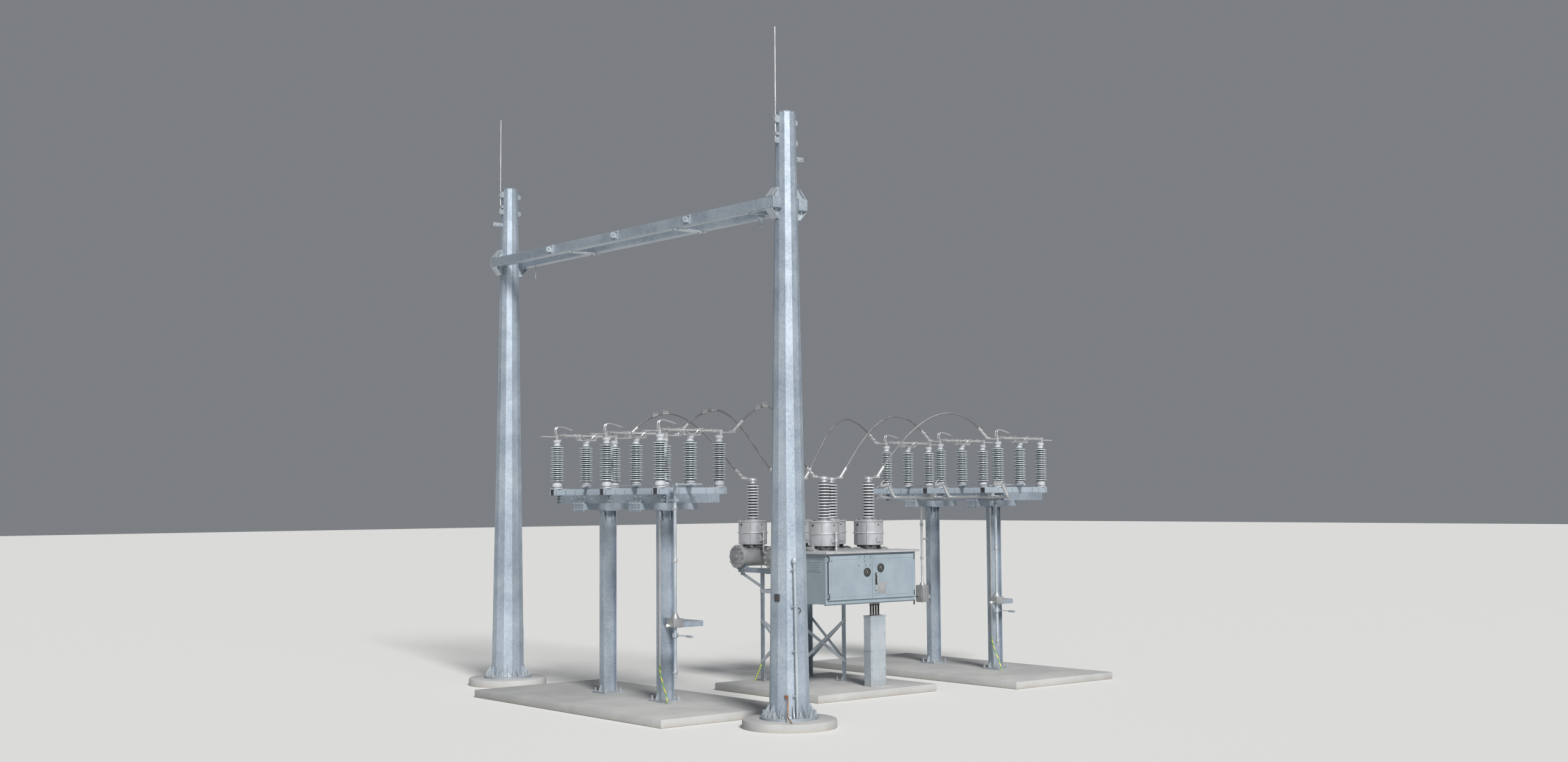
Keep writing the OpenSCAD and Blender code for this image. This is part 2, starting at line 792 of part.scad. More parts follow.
// Ring, knee braces and crossed braces of the stand
module breaker_braces() color(zinc) {
    hx = leg_pitch_x / 2;
    hy = leg_pitch_y / 2;
    out = seat_gap + brace_t / 2;
    for (s = sides) {
        translate([0, stand_y + s * (hy + out), 0]) {
            span([-hx, -brace_t / 2, ring_z], [hx, brace_t / 2, ring_z + ring_h]);
            for (e = sides)
                knee_brace(e, hx);
        }
        for (e = sides) {
            layer = out + (e + 1) / 2 * (brace_t + seat_gap);
            translate([0, stand_y + s * (hy + layer), 0])
                flat_brace([e * (hx - brace_in), cross_low], [-e * (hx - brace_in), cross_high]);
            translate([s * (hx + layer), stand_y, 0])
                rotate([0, 0, 90])
                    flat_brace([e * (hy - brace_in), cross_low], [-e * (hy - brace_in), cross_high]);
        }
        translate([s * (hx + out), stand_y, 0])
            span([-brace_t / 2, -hy, ring_z], [brace_t / 2, hy, ring_z + ring_h]);
    }
}

// Tanks along Y: a flanged cover on the line side and a domed end on the bus side
module breaker_tanks() color(aluminium)
    for (p = phases)
        difference() {
            translate([p * tank_pitch, breaker_y, tank_z])
                rotate([-90, 0, 0])
                    rotate_extrude($fn = 64)
                        polygon([[0, -tank_front - flange_len], [flange_d / 2, -tank_front - flange_len],
                            [flange_d / 2, -tank_front + flange_len], [tank_d / 2, -tank_front + flange_len],
                            [tank_d / 2, tank_back - dome_len],
                            [tank_d / 2 - dome_turn[1], tank_back - dome_turn[0]],
                            [tank_d / 2 - dome_cap, tank_back], [0, tank_back]]);
            for (s = sides)
                translate([p * tank_pitch, stand_y + s * rail_y, tank_low])
                    span([-saddle_half - cut, -rail_w / 2 - cut, -saddle_h],
                        [saddle_half + cut, rail_w / 2 + cut, saddle_rise + seat_gap]);
        }

// Current transformer drums on their necks, with a rim at the top and a band in the middle
module breaker_drums() color(aluminium)
    for (p = phases, s = sides)
        translate([p * tank_pitch, breaker_y + s * bushing_pitch / 2, 0])
            difference() {
                union() {
                    translate([0, 0, tank_z])
                        cylinder(d = neck_d, h = drum_top - tank_z, $fn = 48);
                    translate([0, 0, drum_z])
                        cylinder(d = drum_d, h = drum_h, $fn = 64);
                    for (z = [drum_z + drum_h * band_at, drum_top - rim_t])
                        translate([0, 0, z])
                            cylinder(d = drum_d + 2 * rim_out, h = rim_t, $fn = 64);
                }
                translate([0, -neck_d, tank_z])
                    rotate([-90, 0, 0])
                        cylinder(d = tank_d + 2 * seat_gap, h = 2 * neck_d, $fn = 64);
            }

// Bushing porcelains with a base ring and a metal cap
module breaker_bushings() color(porcelain)
    for (p = phases, s = sides)
        translate([p * tank_pitch, breaker_y + s * bushing_pitch / 2, drum_top])
            rotate_extrude($fn = 48)
                polygon(concat(
                    [[0, 0], [bushing_core_r + foot_flange[0], 0],
                        [bushing_core_r + foot_flange[0], foot_flange[1]],
                        [bushing_core_r + foot_ring[0], foot_ring[1]],
                        [bushing_core_r + foot_ring[0], bushing_base_h], [bushing_core_r, bushing_base_h]],
                    shed_points(bushing_base_h, bushing_sheds, bushing_len / bushing_sheds, bushing_core_r,
                        bushing_shed_r, small_shed),
                    [[bushing_core_r, bushing_base_h + bushing_len],
                        [bushing_core_r - bushing_cap_in, bushing_base_h + bushing_len],
                        [bushing_core_r - bushing_cap_in, bushing_base_h + bushing_len + bushing_cap_h],
                        [0, bushing_base_h + bushing_len + bushing_cap_h]]));

// Flat bar terminals on the bushings, pointing along the bay
module breaker_terminals() color(aluminium)
    for (p = phases, s = sides)
        translate([p * tank_pitch, breaker_y + s * bushing_pitch / 2, bar_z])
            span([-bar_w / 2, min(-s * bar_back, s * bar_out), 0],
                [bar_w / 2, max(-s * bar_back, s * bar_out), bar_t]);

// Cabinet: a sheet-metal box with a lipped front opening and an overhanging roof
module breaker_cabinet() color(cabinet_paint) {
    low = [cab_x, cab_y - cab_w / 2, cab_z];
    high = [cab_front, cab_y + cab_w / 2, cab_top];
    difference() {
        span(low, high);
        span(low + [1, 1, 1] * sheet_t, high - [1, 1, 1] * sheet_t);
        span([cab_front - 2 * sheet_t, cab_y - door_half + frame_lip, door_z + frame_lip],
            [cab_front + cut, cab_y + door_half - frame_lip, door_z + door_h - frame_lip]);
    }
    span([cab_x - cab_roof_back, low[1] - cab_roof_out, cab_top],
        [cab_front + cab_roof_front, high[1] + cab_roof_out, cab_top + cab_roof_t]);
    for (s = sides, z = hinge_z) {
        translate([hinge_x, hinge_y(s), z])
            cylinder(d = knuckle_d, h = knuckle_h, $fn = 32);
        span([cab_front - sheet_t / 2, hinge_y(s) - knuckle_web / 2, z],
            [hinge_x, hinge_y(s) + knuckle_web / 2, z + knuckle_h]);
    }
}

// Door leaf with a returned edge and its hinge knuckles, on the side s of the middle
module cabinet_door(s) color(cabinet_paint) {
    y_out = cab_y + s * door_half;
    y_in = cab_y + s * door_parting;
    x0 = cab_front + door_gap;
    difference() {
        span([x0, min(y_out, y_in), door_z], [x0 + door_t, max(y_out, y_in), door_z + door_h]);
        span([x0 - cut, min(y_out, y_in) + sheet_t, door_z + sheet_t],
            [x0 + door_t - sheet_t, max(y_out, y_in) - sheet_t, door_z + door_h - sheet_t]);
    }
    y_leaf = y_out - s * sheet_t / 2;
    for (z = hinge_z)
        translate([hinge_x, 0, z + knuckle_h + seat_gap]) {
            translate([0, hinge_y(s), 0])
                cylinder(d = knuckle_d, h = knuckle_h, $fn = 32);
            span([-knuckle_web / 2, min(y_leaf, hinge_y(s)), 0],
                [knuckle_web / 2, max(y_leaf, hinge_y(s)), knuckle_h]);
        }
}

module breaker_door_left() cabinet_door(-1);
module breaker_door_right() cabinet_door(1);

// Sheet-metal cable duct from the pad up to below the cabinet
module breaker_cable_duct() color(zinc) {
    x = cab_x + cab_d / 2;
    difference() {
        span([x - duct_d / 2, duct_y - duct_w / 2, pad_h], [x + duct_d / 2, duct_y + duct_w / 2, duct_top]);
        span([x - duct_d / 2 + sheet_t, duct_y - duct_w / 2 + sheet_t, pad_h + sheet_t],
            [x + duct_d / 2 - sheet_t, duct_y + duct_w / 2 - sheet_t, duct_top + cut]);
    }
    span([x - gland_half[0], duct_y - gland_half[1], cab_z - gland_h],
        [x + gland_half[0], duct_y + gland_half[1], cab_z - seat_gap]);
    for (k = [-1.5 : 1 : 1.5])
        bar([x, duct_y + k * cable_pitch, pad_h + sheet_t], [x, duct_y + k * cable_pitch, cab_z - gland_h],
            cable_d);
}

// Conductor route: a curve from a to b whose ends rise as a_lift and b_lift say
function route_point(a, b, a_lift, b_lift, t) =
    pow(1 - t, 3) * a + 3 * pow(1 - t, 2) * t * (a + a_lift)
    + 3 * (1 - t) * t * t * (b + b_lift) + pow(t, 3) * b;

// Two unit vectors square to the route's direction v
function ring_frame(v) =
    let (f = v / norm(v), r = cross(f, [1, 0, 0]), side = r / norm(r)) [side, cross(f, side)];

// Round conductor swept along its route with 8 sides, whose two ends stand flat on the bars
module conductor(a, b, a_lift, b_lift) {
    pts = [for (i = [0 : wire_steps]) route_point(a, b, a_lift, b_lift, i / wire_steps)];
    rings = [for (i = [0 : wire_steps])
        let (axes = ring_frame(i == 0 ? [0, 0, 1] : i == wire_steps ? [0, 0, -1] : pts[i + 1] - pts[i - 1]))
            for (k = [0 : 7])
                pts[i] + wire_d / 2 * (cos(k * 45) * axes[0] + sin(k * 45) * axes[1])];
    polyhedron(
        points = rings,
        faces = concat(
            [[for (k = [7 : -1 : 0]) k]],
            [[for (k = [0 : 7]) wire_steps * 8 + k]],
            [for (i = [0 : wire_steps - 1], k = [0 : 7])
                [i * 8 + k, i * 8 + (k + 1) % 8, (i + 1) * 8 + (k + 1) % 8, (i + 1) * 8 + k]]));
}

// Conductors from both disconnectors to the breaker
module conductors() color(aluminium)
    for (p = phases, way = [[line_y, -1, line_lifts], [bus_y, 1, bus_lifts]]) {
        s = way[1];
        y_disc = way[0] - s * (post_pitch + bar_reach - clamp_in);
        y_breaker = breaker_y + s * (bushing_pitch / 2 + bar_out - clamp_in);
        conductor(
            [p * phase_pitch, y_disc, top_z + bar_rise + pad_t + seat_gap],
            [p * tank_pitch, y_breaker, bar_z + bar_t + seat_gap],
            [0, -s * way[2][0][0], way[2][0][1]],
            [0, s * way[2][1][0], way[2][1][1]]);
    }

module at_line() translate([0, line_y, 0]) children();
module at_bus() translate([0, bus_y, 0]) children();
module at_phase(p) translate([p * phase_pitch, 0, 0]) children();

foundations();
gantry_pole(-1);  // gantry_pole_left
gantry_pole(1);  // gantry_pole_right
gantry_beams();
gantry_brackets();
gantry_landing_plates();
lightning_rods();
disconnector_columns();
disconnector_cross_arms();
at_line() base_frame();  // line_frame
at_line() fixed_posts();  // line_fixed_posts
at_line() fixed_terminals(-1);  // line_terminals
at_line() at_phase(-1) rotor_post();  // line_rotor_a
at_line() at_phase(0) rotor_post();  // line_rotor_b
at_line() at_phase(1) rotor_post();  // line_rotor_c
at_line() at_phase(-1) rotor_blade();  // line_blade_a
at_line() at_phase(0) rotor_blade();  // line_blade_b
at_line() at_phase(1) rotor_blade();  // line_blade_c
at_line() tie_rod(line_drive_at);  // line_tie_rod
at_line() drive_pipe(line_drive_at);  // line_drive_pipe
at_bus() base_frame(shaft_reach);  // bus_frame
at_bus() fixed_posts();  // bus_fixed_posts
at_bus() fixed_terminals(1);  // bus_terminals
at_bus() at_phase(-1) rotor_post();  // bus_rotor_a
at_bus() at_phase(0) rotor_post();  // bus_rotor_b
at_bus() at_phase(1) rotor_post();  // bus_rotor_c
at_bus() at_phase(-1) rotor_blade();  // bus_blade_a
at_bus() at_phase(0) rotor_blade();  // bus_blade_b
at_bus() at_phase(1) rotor_blade();  // bus_blade_c
at_bus() tie_rod(bus_drive_at);  // bus_tie_rod
at_bus() drive_pipe(bus_drive_at);  // bus_drive_pipe
drive_brackets();
bus_earth_switch();
breaker_legs();
breaker_rails();
breaker_braces();
breaker_tanks();
breaker_drums();
breaker_bushings();
breaker_terminals();
breaker_cabinet();
breaker_door_left();
breaker_door_right();
breaker_cable_duct();
conductors();
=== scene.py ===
"""Looks of one bay of an outdoor switching station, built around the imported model.

Lengths are in metres in the model's own frame: X runs across the three phases, Y from the line
side to the bus side, Z up from the ground.
"""

import logging
import math
from collections.abc import Iterable, Sequence
from dataclasses import dataclass
from enum import Enum
from itertools import product

import bmesh
import bpy
from mathutils import Matrix, Vector


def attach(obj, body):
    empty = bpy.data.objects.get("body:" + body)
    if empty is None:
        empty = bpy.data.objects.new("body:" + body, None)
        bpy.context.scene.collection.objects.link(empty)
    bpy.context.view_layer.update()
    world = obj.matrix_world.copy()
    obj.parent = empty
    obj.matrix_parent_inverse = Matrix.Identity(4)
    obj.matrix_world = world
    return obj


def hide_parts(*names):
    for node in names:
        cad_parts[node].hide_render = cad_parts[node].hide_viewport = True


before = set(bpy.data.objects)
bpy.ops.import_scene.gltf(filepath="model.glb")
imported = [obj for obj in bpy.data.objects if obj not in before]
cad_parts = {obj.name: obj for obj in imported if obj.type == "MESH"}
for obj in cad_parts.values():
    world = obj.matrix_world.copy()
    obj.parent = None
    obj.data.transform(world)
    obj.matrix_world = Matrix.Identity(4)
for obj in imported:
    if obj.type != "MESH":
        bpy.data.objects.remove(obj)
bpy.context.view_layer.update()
LOG = logging.getLogger("bay")

Point = tuple[float, float, float] | Vector
Span = tuple[float, float]
Outline = list[tuple[float, float]]
Colour = tuple[float, float, float]
Node = bpy.types.Node
Socket = bpy.types.NodeSocket
ROOT = "structure"
SIDES = (-1, 1)


class Axis(Enum):
    """Directions that discs, bolts and turned parts point in."""

    PLUS_X = (1.0, 0.0, 0.0)
    MINUS_X = (-1.0, 0.0, 0.0)
    PLUS_Y = (0.0, 1.0, 0.0)
    MINUS_Y = (0.0, -1.0, 0.0)
    UP = (0.0, 0.0, 1.0)
    DOWN = (0.0, 0.0, -1.0)

    def turn(self) -> Matrix:
        """Rotation that takes +Z to this direction."""
        return Vector(self.value).to_track_quat("Z", "Y").to_matrix().to_4x4()

    @classmethod
    def along_x(cls, side: float) -> "Axis":
        """Direction along X with the sign of the side."""
        return cls.PLUS_X if side > 0 else cls.MINUS_X

    @classmethod
    def along_y(cls, side: float) -> "Axis":
        """Direction along Y with the sign of the side."""
        return cls.PLUS_Y if side > 0 else cls.MINUS_Y


# Wiring of node trees


class Wiring:
    """A node tree while it is being wired."""

    def __init__(self, tree: bpy.types.NodeTree) -> None:
        """Start on an emptied tree."""
        self.tree = tree
        tree.nodes.clear()

    def add(self, kind: str, values: dict | None = None, **settings: object) -> Node:
        """Add one node.

        Args:
            kind: the node's type name.
            values: sockets, numbers or colours for its inputs, by name or index.
            **settings: the node's own properties.

        Returns:
            The node.
        """
        node = self.tree.nodes.new(kind)
        for key, value in settings.items():
            setattr(node, key, value)
        for key, value in (values or {}).items():
            if isinstance(value, Socket):
                self.tree.links.new(value, node.inputs[key])
            else:
                node.inputs[key].default_value = value
        return node

    def maths(self, how: str, a: Socket | float, b: Socket | float = 0.0) -> Socket:
        """Combine two values by the operation of that name."""
        return self.add("ShaderNodeMath", {0: a, 1: b}, operation=how).outputs[0]

    def plus(self, base: Socket | float, value: Socket, share: float) -> Socket:
        """Add a share of a value to a base."""
        return self.maths("ADD", base, self.maths("MULTIPLY", value, share))

    def height(self, where: Socket) -> Socket:
        """Third coordinate of a place or direction."""
        return self.add("ShaderNodeSeparateXYZ", {"Vector": where}).outputs["Z"]

    def noise(self, where: Socket, scale: float, detail: float = 3.0,
              stretch: Point = (1.0, 1.0, 1.0)) -> Socket:
        """Cloudy value between 0 and 1.

        Args:
            where: the coordinates.
            scale: how many clouds a metre holds.
            detail: how many finer layers are laid over it.
            stretch: scale along each axis, below 1 to draw the clouds out.

        Returns:
            The value.
        """
        placed_at = self.add("ShaderNodeMapping", {"Vector": where, "Scale": stretch}).outputs["Vector"]
        values = {"Vector": placed_at, "Scale": scale, "Detail": detail, "Roughness": 0.58}
        return self.add("ShaderNodeTexNoise", values).outputs["Fac"]

    def within(self, value: Socket, low: float, high: float, to_low: float = 0.0,
               to_high: float = 1.0) -> Socket:
        """Spread the stretch between low and high over a new range.

        Args:
            value: what is spread.
            low: value that becomes to_low.
            high: value that becomes to_high.
            to_low: start of the new range.
            to_high: end of the new range.

        Returns:
            The spread value, held within the range.
        """
        values = {"Value": value, "From Min": low, "From Max": high, "To Min": to_low, "To Max": to_high}
        return self.add("ShaderNodeMapRange", values, interpolation_type="SMOOTHSTEP").outputs["Result"]

    def blend(self, mask: Socket, a: Socket | Colour, b: Socket | Colour) -> Socket:
        """Mix two colours.

        Args:
            mask: 0 keeps a, 1 gives b.
            a: a socket or a colour.
            b: a socket or a colour.

        Returns:
            The colour.
        """
        first, second = (c if isinstance(c, Socket) else (*c, 1.0) for c in (a, b))
        return self.add("ShaderNodeMix", {"Factor": mask, 6: first, 7: second}, data_type="RGBA").outputs[2]


class Effect:
    """A shader node group that several finishes share, made at its first use.

    Attributes:
        name: the group's name.
        setting: name of its value input, or nothing where it has none.
        usual: that input's usual value.
    """

    name: str
    setting: str = ""
    usual: float = 0.0

    def wire(self, w: Wiring, where: Socket, value: Socket | None) -> dict[str, Socket]:
        """Wire the group.

        Args:
            w: its wiring.
            where: its coordinates.
            value: its setting.

        Returns:
            What it puts out, by name.
        """
        raise NotImplementedError

    def group(self) -> bpy.types.NodeTree:
        """Find or make the group.

        Returns:
            Its node tree.
        """
        found = bpy.data.node_groups.get(self.name)
        if found:
            return found
        tree = bpy.data.node_groups.new(self.name, "ShaderNodeTree")
        face = tree.interface
        face.new_socket(name="Where", in_out="INPUT", socket_type="NodeSocketVector")
        if self.setting:
            value = face.new_socket(name=self.setting, in_out="INPUT", socket_type="NodeSocketFloat")
            value.default_value = self.usual
        w = Wiring(tree)
        given = w.add("NodeGroupInput").outputs
        made = self.wire(w, given["Where"], given[self.setting] if self.setting else None)
        for key in made:
            face.new_socket(name=key, in_out="OUTPUT", socket_type="NodeSocketFloat")
        w.add("NodeGroupOutput", made)
        return tree


class Weather(Effect):
    """Patches, rain streaks that run down, and fine grain."""

    name = "Weather"
    setting = "Patch scale"
    usual = 2.0

    def wire(self, w: Wiring, where: Socket, value: Socket | None) -> dict[str, Socket]:
        """Wire three noises, the streaks drawn out downwards and broken up.

        Args:
            w: the group's wiring.
            where: its coordinates.
            value: how many patches a metre holds.

        Returns:
            The patches, the streaks and the grain.
        """
        cloud = {"Vector": where, "Scale": value, "Detail": 5.0, "Roughness": 0.62}
        patch = w.add("ShaderNodeTexNoise", cloud).outputs["Fac"]
        streak = w.within(w.noise(where, 24.0, 4.0, (1.0, 1.0, 0.045)), 0.52, 0.74)
        broken = w.within(w.noise(where, 3.0), 0.4, 0.62)
        return {"Patches": w.within(patch, 0.36, 0.66), "Streaks": w.maths("MULTIPLY", streak, broken),
                "Grain": w.noise(where, 260.0, 2.0)}


class Spangle(Effect):
    """Crystals of a zinc coating, each with its own shade, and the ridges between them."""

    name = "Spangle"
    setting = "Crystals a metre"
    usual = 45.0

    def wire(self, w: Wiring, where: Socket, value: Socket | None) -> dict[str, Socket]:
        """Wire the cells' colours and their borders.

        Args:
            w: the group's wiring.
            where: its coordinates.
            value: how many crystals a metre holds.

        Returns:
            Each crystal's shade, and the ridge round it.
        """
        cells, rims = (w.add("ShaderNodeTexVoronoi", {"Vector": where, "Scale": value}, feature=kind)
                       for kind in ("F1", "DISTANCE_TO_EDGE"))
        split = w.add("ShaderNodeSeparateColor", {"Color": cells.outputs["Color"]})
        return {"Shade": split.outputs["Red"], "Ridge": w.within(rims.outputs["Distance"], 0.0, 0.12)}


class GroundDirt(Effect):
    """Soil that rain throws up, 1 at the ground and 0 above its reach."""

    name = "Ground dirt"
    setting = "Reach"
    usual = 0.6

    def wire(self, w: Wiring, where: Socket, value: Socket | None) -> dict[str, Socket]:
        """Wire a fade with spots at its edge."""
        fade = w.maths("SUBTRACT", 1.0, w.maths("DIVIDE", w.height(where), value))
        return {"Dirt": w.within(w.plus(fade, w.noise(where, 14.0, 5.0), 0.9), 0.75, 1.6)}


class Facing(Effect):
    """How far a surface faces up or down."""

    name = "Facing"

    def wire(self, w: Wiring, where: Socket, value: Socket | None) -> dict[str, Socket]:
        """Wire the upright part of the normal.

        Args:
            w: the group's wiring.
            where: its coordinates, which it doesn't use.
            value: nothing.

        Returns:
            How far the surface faces up, and how far down.
        """
        upright = w.height(w.add("ShaderNodeNewGeometry").outputs["Normal"])
        down = w.maths("MULTIPLY", upright, -1.0)
        return {"Up": w.within(upright, 0.35, 0.95), "Down": w.within(down, 0.1, 0.8)}


class Skin(Wiring):
    """A material's node tree while its finish is being wired."""

    def __init__(self, tree: bpy.types.NodeTree, metallic: float, rough: float) -> None:
        """Start with the shader and the coordinates.

        Args:
            tree: the material's node tree.
            metallic: how metallic the shader is.
            rough: its roughness before anything feeds it.
        """
        super().__init__(tree)
        self.shader = self.add("ShaderNodeBsdfPrincipled", {"Metallic": metallic, "Roughness": rough})
        self.add("ShaderNodeOutputMaterial", {"Surface": self.shader.outputs["BSDF"]})
        self.where = self.add("ShaderNodeTexCoord").outputs["Object"]

    def effect(self, effect: Effect, value: float | None = None) -> dict[str, Socket]:
        """Put a shared effect into the material.

        Args:
            effect: the effect.
            value: its setting here, where it has one.

        Returns:
            What it puts out, by name.
        """
        values = {"Where": self.where}
        if effect.setting:
            values[effect.setting] = value
        return dict(self.add("ShaderNodeGroup", values, node_tree=effect.group()).outputs.items())

    def layered(self, colour: Socket, *layers: tuple[Socket, float, Colour]) -> Socket:
        """Lay further colours over a colour.

        Args:
            colour: the colour underneath.
            *layers: the mask of each, the share of it that shows, and its colour.

        Returns:
            The colour.
        """
        for mask, share, top in layers:
            colour = self.blend(self.maths("MULTIPLY", mask, share), colour, top)
        return colour

    def feed(self, **sockets: Socket) -> None:
        """Lead values to the shader's inputs, named with underscores for spaces."""
        for name, socket in sockets.items():
            self.tree.links.new(socket, self.shader.inputs[name.replace("_", " ")])

    def relief(self, height: Socket, depth: float, strength: float) -> None:
        """Bump the surface.

        Args:
            height: the height, 0 to 1.
            depth: what the height's 1 is in metres.
            strength: share of the bump that shows.
        """
        bump = self.add("ShaderNodeBump", {"Strength": strength, "Distance": depth, "Height": height})
        self.feed(Normal=bump.outputs["Normal"])


# Finishes


def shade(colour: Colour, by: float) -> Colour:
    """The colour made lighter or darker by a factor."""
    return tuple(min(1.0, c * by) for c in colour)


@dataclass(frozen=True)
class Finish:
    """A surface finish, dressed by its subclass.

    Attributes:
        name: the material's name.
        slot: name of its material slot; not used in this script.
        colour: the main colour.
        tint: the colour that patches and crystals turn to.
        metallic: how metallic the shader is.
        rough: the middle roughness.
    """

    name: str
    slot: str
    colour: Colour
    tint: Colour
    metallic: float = 0.0
    rough: float = 0.5

    def material(self) -> bpy.types.Material:
        """The material, made at its first use.

        Returns:
            The material.
        """
        found = bpy.data.materials.get(self.name)
        if found:
            return found
        made = bpy.data.materials.new(self.name)
        made.use_nodes = True
        made.diffuse_color = (*self.colour, 1.0)
        self.dress(Skin(made.node_tree, self.metallic, self.rough))
        return made

    def dress(self, skin: Skin) -> None:
        """Wire the colour, roughness and bump of the finish."""
        raise NotImplementedError


@dataclass(frozen=True)
class Galvanised(Finish):
    """Hot-dip zinc with crystals, dull patches and dirt near the ground.

    Attributes:
        crystals: crystals a metre.
        contrast: how strongly the crystals differ.
        soil: share of the dirt that shows.
        pale_above: height from which the steel is a newer, paler batch.
    """

    crystals: float = 48.0
    contrast: float = 0.55
    soil: float = 0.45
    pale_above: float = 99.0

    def dress(self, skin: Skin) -> None:
        """Wire crystals, patches, streaks and dirt.

        Args:
            skin: the material.
        """
        weather = skin.effect(Weather(), 1.6)
        zinc = skin.effect(Spangle(), self.crystals)
        dirt = skin.effect(GroundDirt(), 0.5)["Dirt"]
        dust = skin.effect(Facing())["Up"]
        crystals = skin.maths("MULTIPLY", zinc["Shade"], self.contrast)
        tone = skin.plus(crystals, weather["Patches"], 1.0 - self.contrast)
        newer = skin.within(skin.height(skin.where), self.pale_above, self.pale_above + 0.004)
        colour = skin.layered(skin.blend(tone, self.colour, self.tint), (newer, 0.75, shade(self.tint, 1.3)),
                              (weather["Streaks"], 0.4, shade(self.tint, 1.18)),
                              (dust, 0.22, (0.42, 0.41, 0.38)),
                              (dirt, self.soil, (0.36, 0.32, 0.26)))
        gloss = skin.plus(skin.plus(self.rough - 0.03, tone, 0.06), dirt, 0.3)
        skin.feed(Base_Color=colour, Roughness=gloss)
        skin.relief(skin.maths("ADD", zinc["Ridge"], weather["Grain"]), 0.0003, 0.2)


@dataclass(frozen=True)
class Aluminium(Finish):
    """Rolled, drawn or cast aluminium that has stood outdoors.

    Attributes:
        grain_scale: how fine the casting's or drawing's grain is.
        grain_depth: how deep it is in metres.
    """

    grain_scale: float = 220.0
    grain_depth: float = 0.0003

    def dress(self, skin: Skin) -> None:
        """Wire oxide patches, runs, grain and painted shade on the undersides.

        Args:
            skin: the material.
        """
        weather = skin.effect(Weather(), 4.0)
        # Painted shade: downward faces are blended towards a mid grey, darkening the bright metals'
        # undersides.
        under = skin.effect(Facing())["Down"]
        grain = skin.noise(skin.where, self.grain_scale)
        tone = skin.plus(skin.maths("MULTIPLY", weather["Patches"], 0.6), grain, 0.4)
        colour = skin.layered(skin.blend(tone, self.colour, self.tint),
                              (weather["Streaks"], 0.35, (0.40, 0.40, 0.38)),
                              (under, 0.3, (0.34, 0.34, 0.33)))
        skin.feed(Base_Color=colour, Roughness=skin.plus(self.rough - 0.08, tone, 0.2))
        skin.relief(grain, self.grain_depth, 0.5)


@dataclass(frozen=True)
class Glaze(Finish):
    """Glazed porcelain with painted shade in the roots between its sheds.

    Attributes:
        start: height of the lowest root.
        pitch: distance between the roots.
    """

    start: float = 3.4015
    pitch: float = 0.555 / 17

    def dress(self, skin: Skin) -> None:
        """Wire the glaze's clouds, the painted shade in the roots and on the undersides, and the dust above.

        Args:
            skin: the material.
        """
        face = skin.effect(Facing())
        patches = skin.effect(Weather(), 5.0)["Patches"]
        above = skin.maths("SUBTRACT", skin.height(skin.where), self.start)
        turns = skin.maths("DIVIDE", above, self.pitch / math.tau)
        # Painted shade: the roots between the sheds turn nearly black, and downward faces turn darker.
        root = skin.within(skin.maths("COSINE", turns), -0.5, 0.25)
        colour = skin.layered(skin.blend(patches, self.colour, self.tint),
                              (root, 0.92, shade(self.colour, 0.1)),
                              (face["Down"], 0.75, shade(self.colour, 0.3)))
        skin.feed(Base_Color=colour, Roughness=skin.plus(self.rough, face["Up"], 0.3),
                  Coat_Weight=skin.within(patches, 0.0, 1.0, 0.75, 0.35))
        skin.relief(skin.noise(skin.where, 60.0, 2.0), 0.0004, 0.25)


@dataclass(frozen=True)
class SheetPaint(Finish):
    """Enamel on sheet metal, chalked by the sun and streaked by rain."""

    def dress(self, skin: Skin) -> None:
        """Wire fading, streaks, painted shade on the undersides and a slight orange-peel relief.

        Args:
            skin: the material.
        """
        weather = skin.effect(Weather(), 2.6)
        face = skin.effect(Facing())
        patches = weather["Patches"]
        # Painted shade: downward faces are blended towards a mid grey; this darkens pale paint and slightly
        # lightens the dark enamel.
        colour = skin.layered(skin.blend(patches, self.colour, self.tint),
                              (weather["Streaks"], 0.5, shade(self.colour, 0.72)),
                              (face["Up"], 0.45, (0.60, 0.60, 0.57)), (face["Down"], 0.3, (0.34, 0.37, 0.37)))
        gloss = skin.within(patches, 0.0, 1.0, self.rough - 0.07, self.rough + 0.12)
        skin.feed(Base_Color=colour, Roughness=gloss)
        skin.relief(skin.noise(skin.where, 140.0, 2.0), 0.0003, 0.3)


@dataclass(frozen=True)
class Concrete(Finish):
    """Cast concrete: trowelled, with pores, stains and wet edges."""

    def dress(self, skin: Skin) -> None:
        """Wire clouds, stains, sand, pores darkened with painted shade, and soil at the ground.

        Args:
            skin: the material.
        """
        patches = skin.effect(Weather(), 1.1)["Patches"]
        dirt = skin.effect(GroundDirt(), 0.11)["Dirt"]
        sand = skin.noise(skin.where, 180.0, 4.0)
        pores = skin.add("ShaderNodeTexVoronoi", {"Vector": skin.where, "Scale": 55.0}, feature="F1")
        solid = skin.within(pores.outputs["Distance"], 0.05, 0.16)
        trowel = skin.noise(skin.where, 7.0, 6.0, (1.0, 0.35, 1.0))
        tone = skin.plus(skin.maths("MULTIPLY", patches, 0.5), trowel, 0.5)
        colour = skin.blend(tone, self.colour, self.tint)
        colour = skin.blend(skin.within(sand, 0.35, 0.75, 0.0, 0.35), colour, (0.36, 0.35, 0.33))
        # Painted shade: the pores are darkened as if shaded inside.
        colour = skin.layered(colour, (skin.maths("SUBTRACT", 1.0, solid), 0.5, (0.22, 0.21, 0.20)),
                              (dirt, 0.4, (0.33, 0.28, 0.22)))
        skin.feed(Base_Color=colour, Roughness=skin.within(tone, 0.0, 1.0, 0.72, 0.94))
        skin.relief(skin.plus(skin.maths("MULTIPLY", sand, 0.4), solid, 0.6), 0.0016, 0.5)


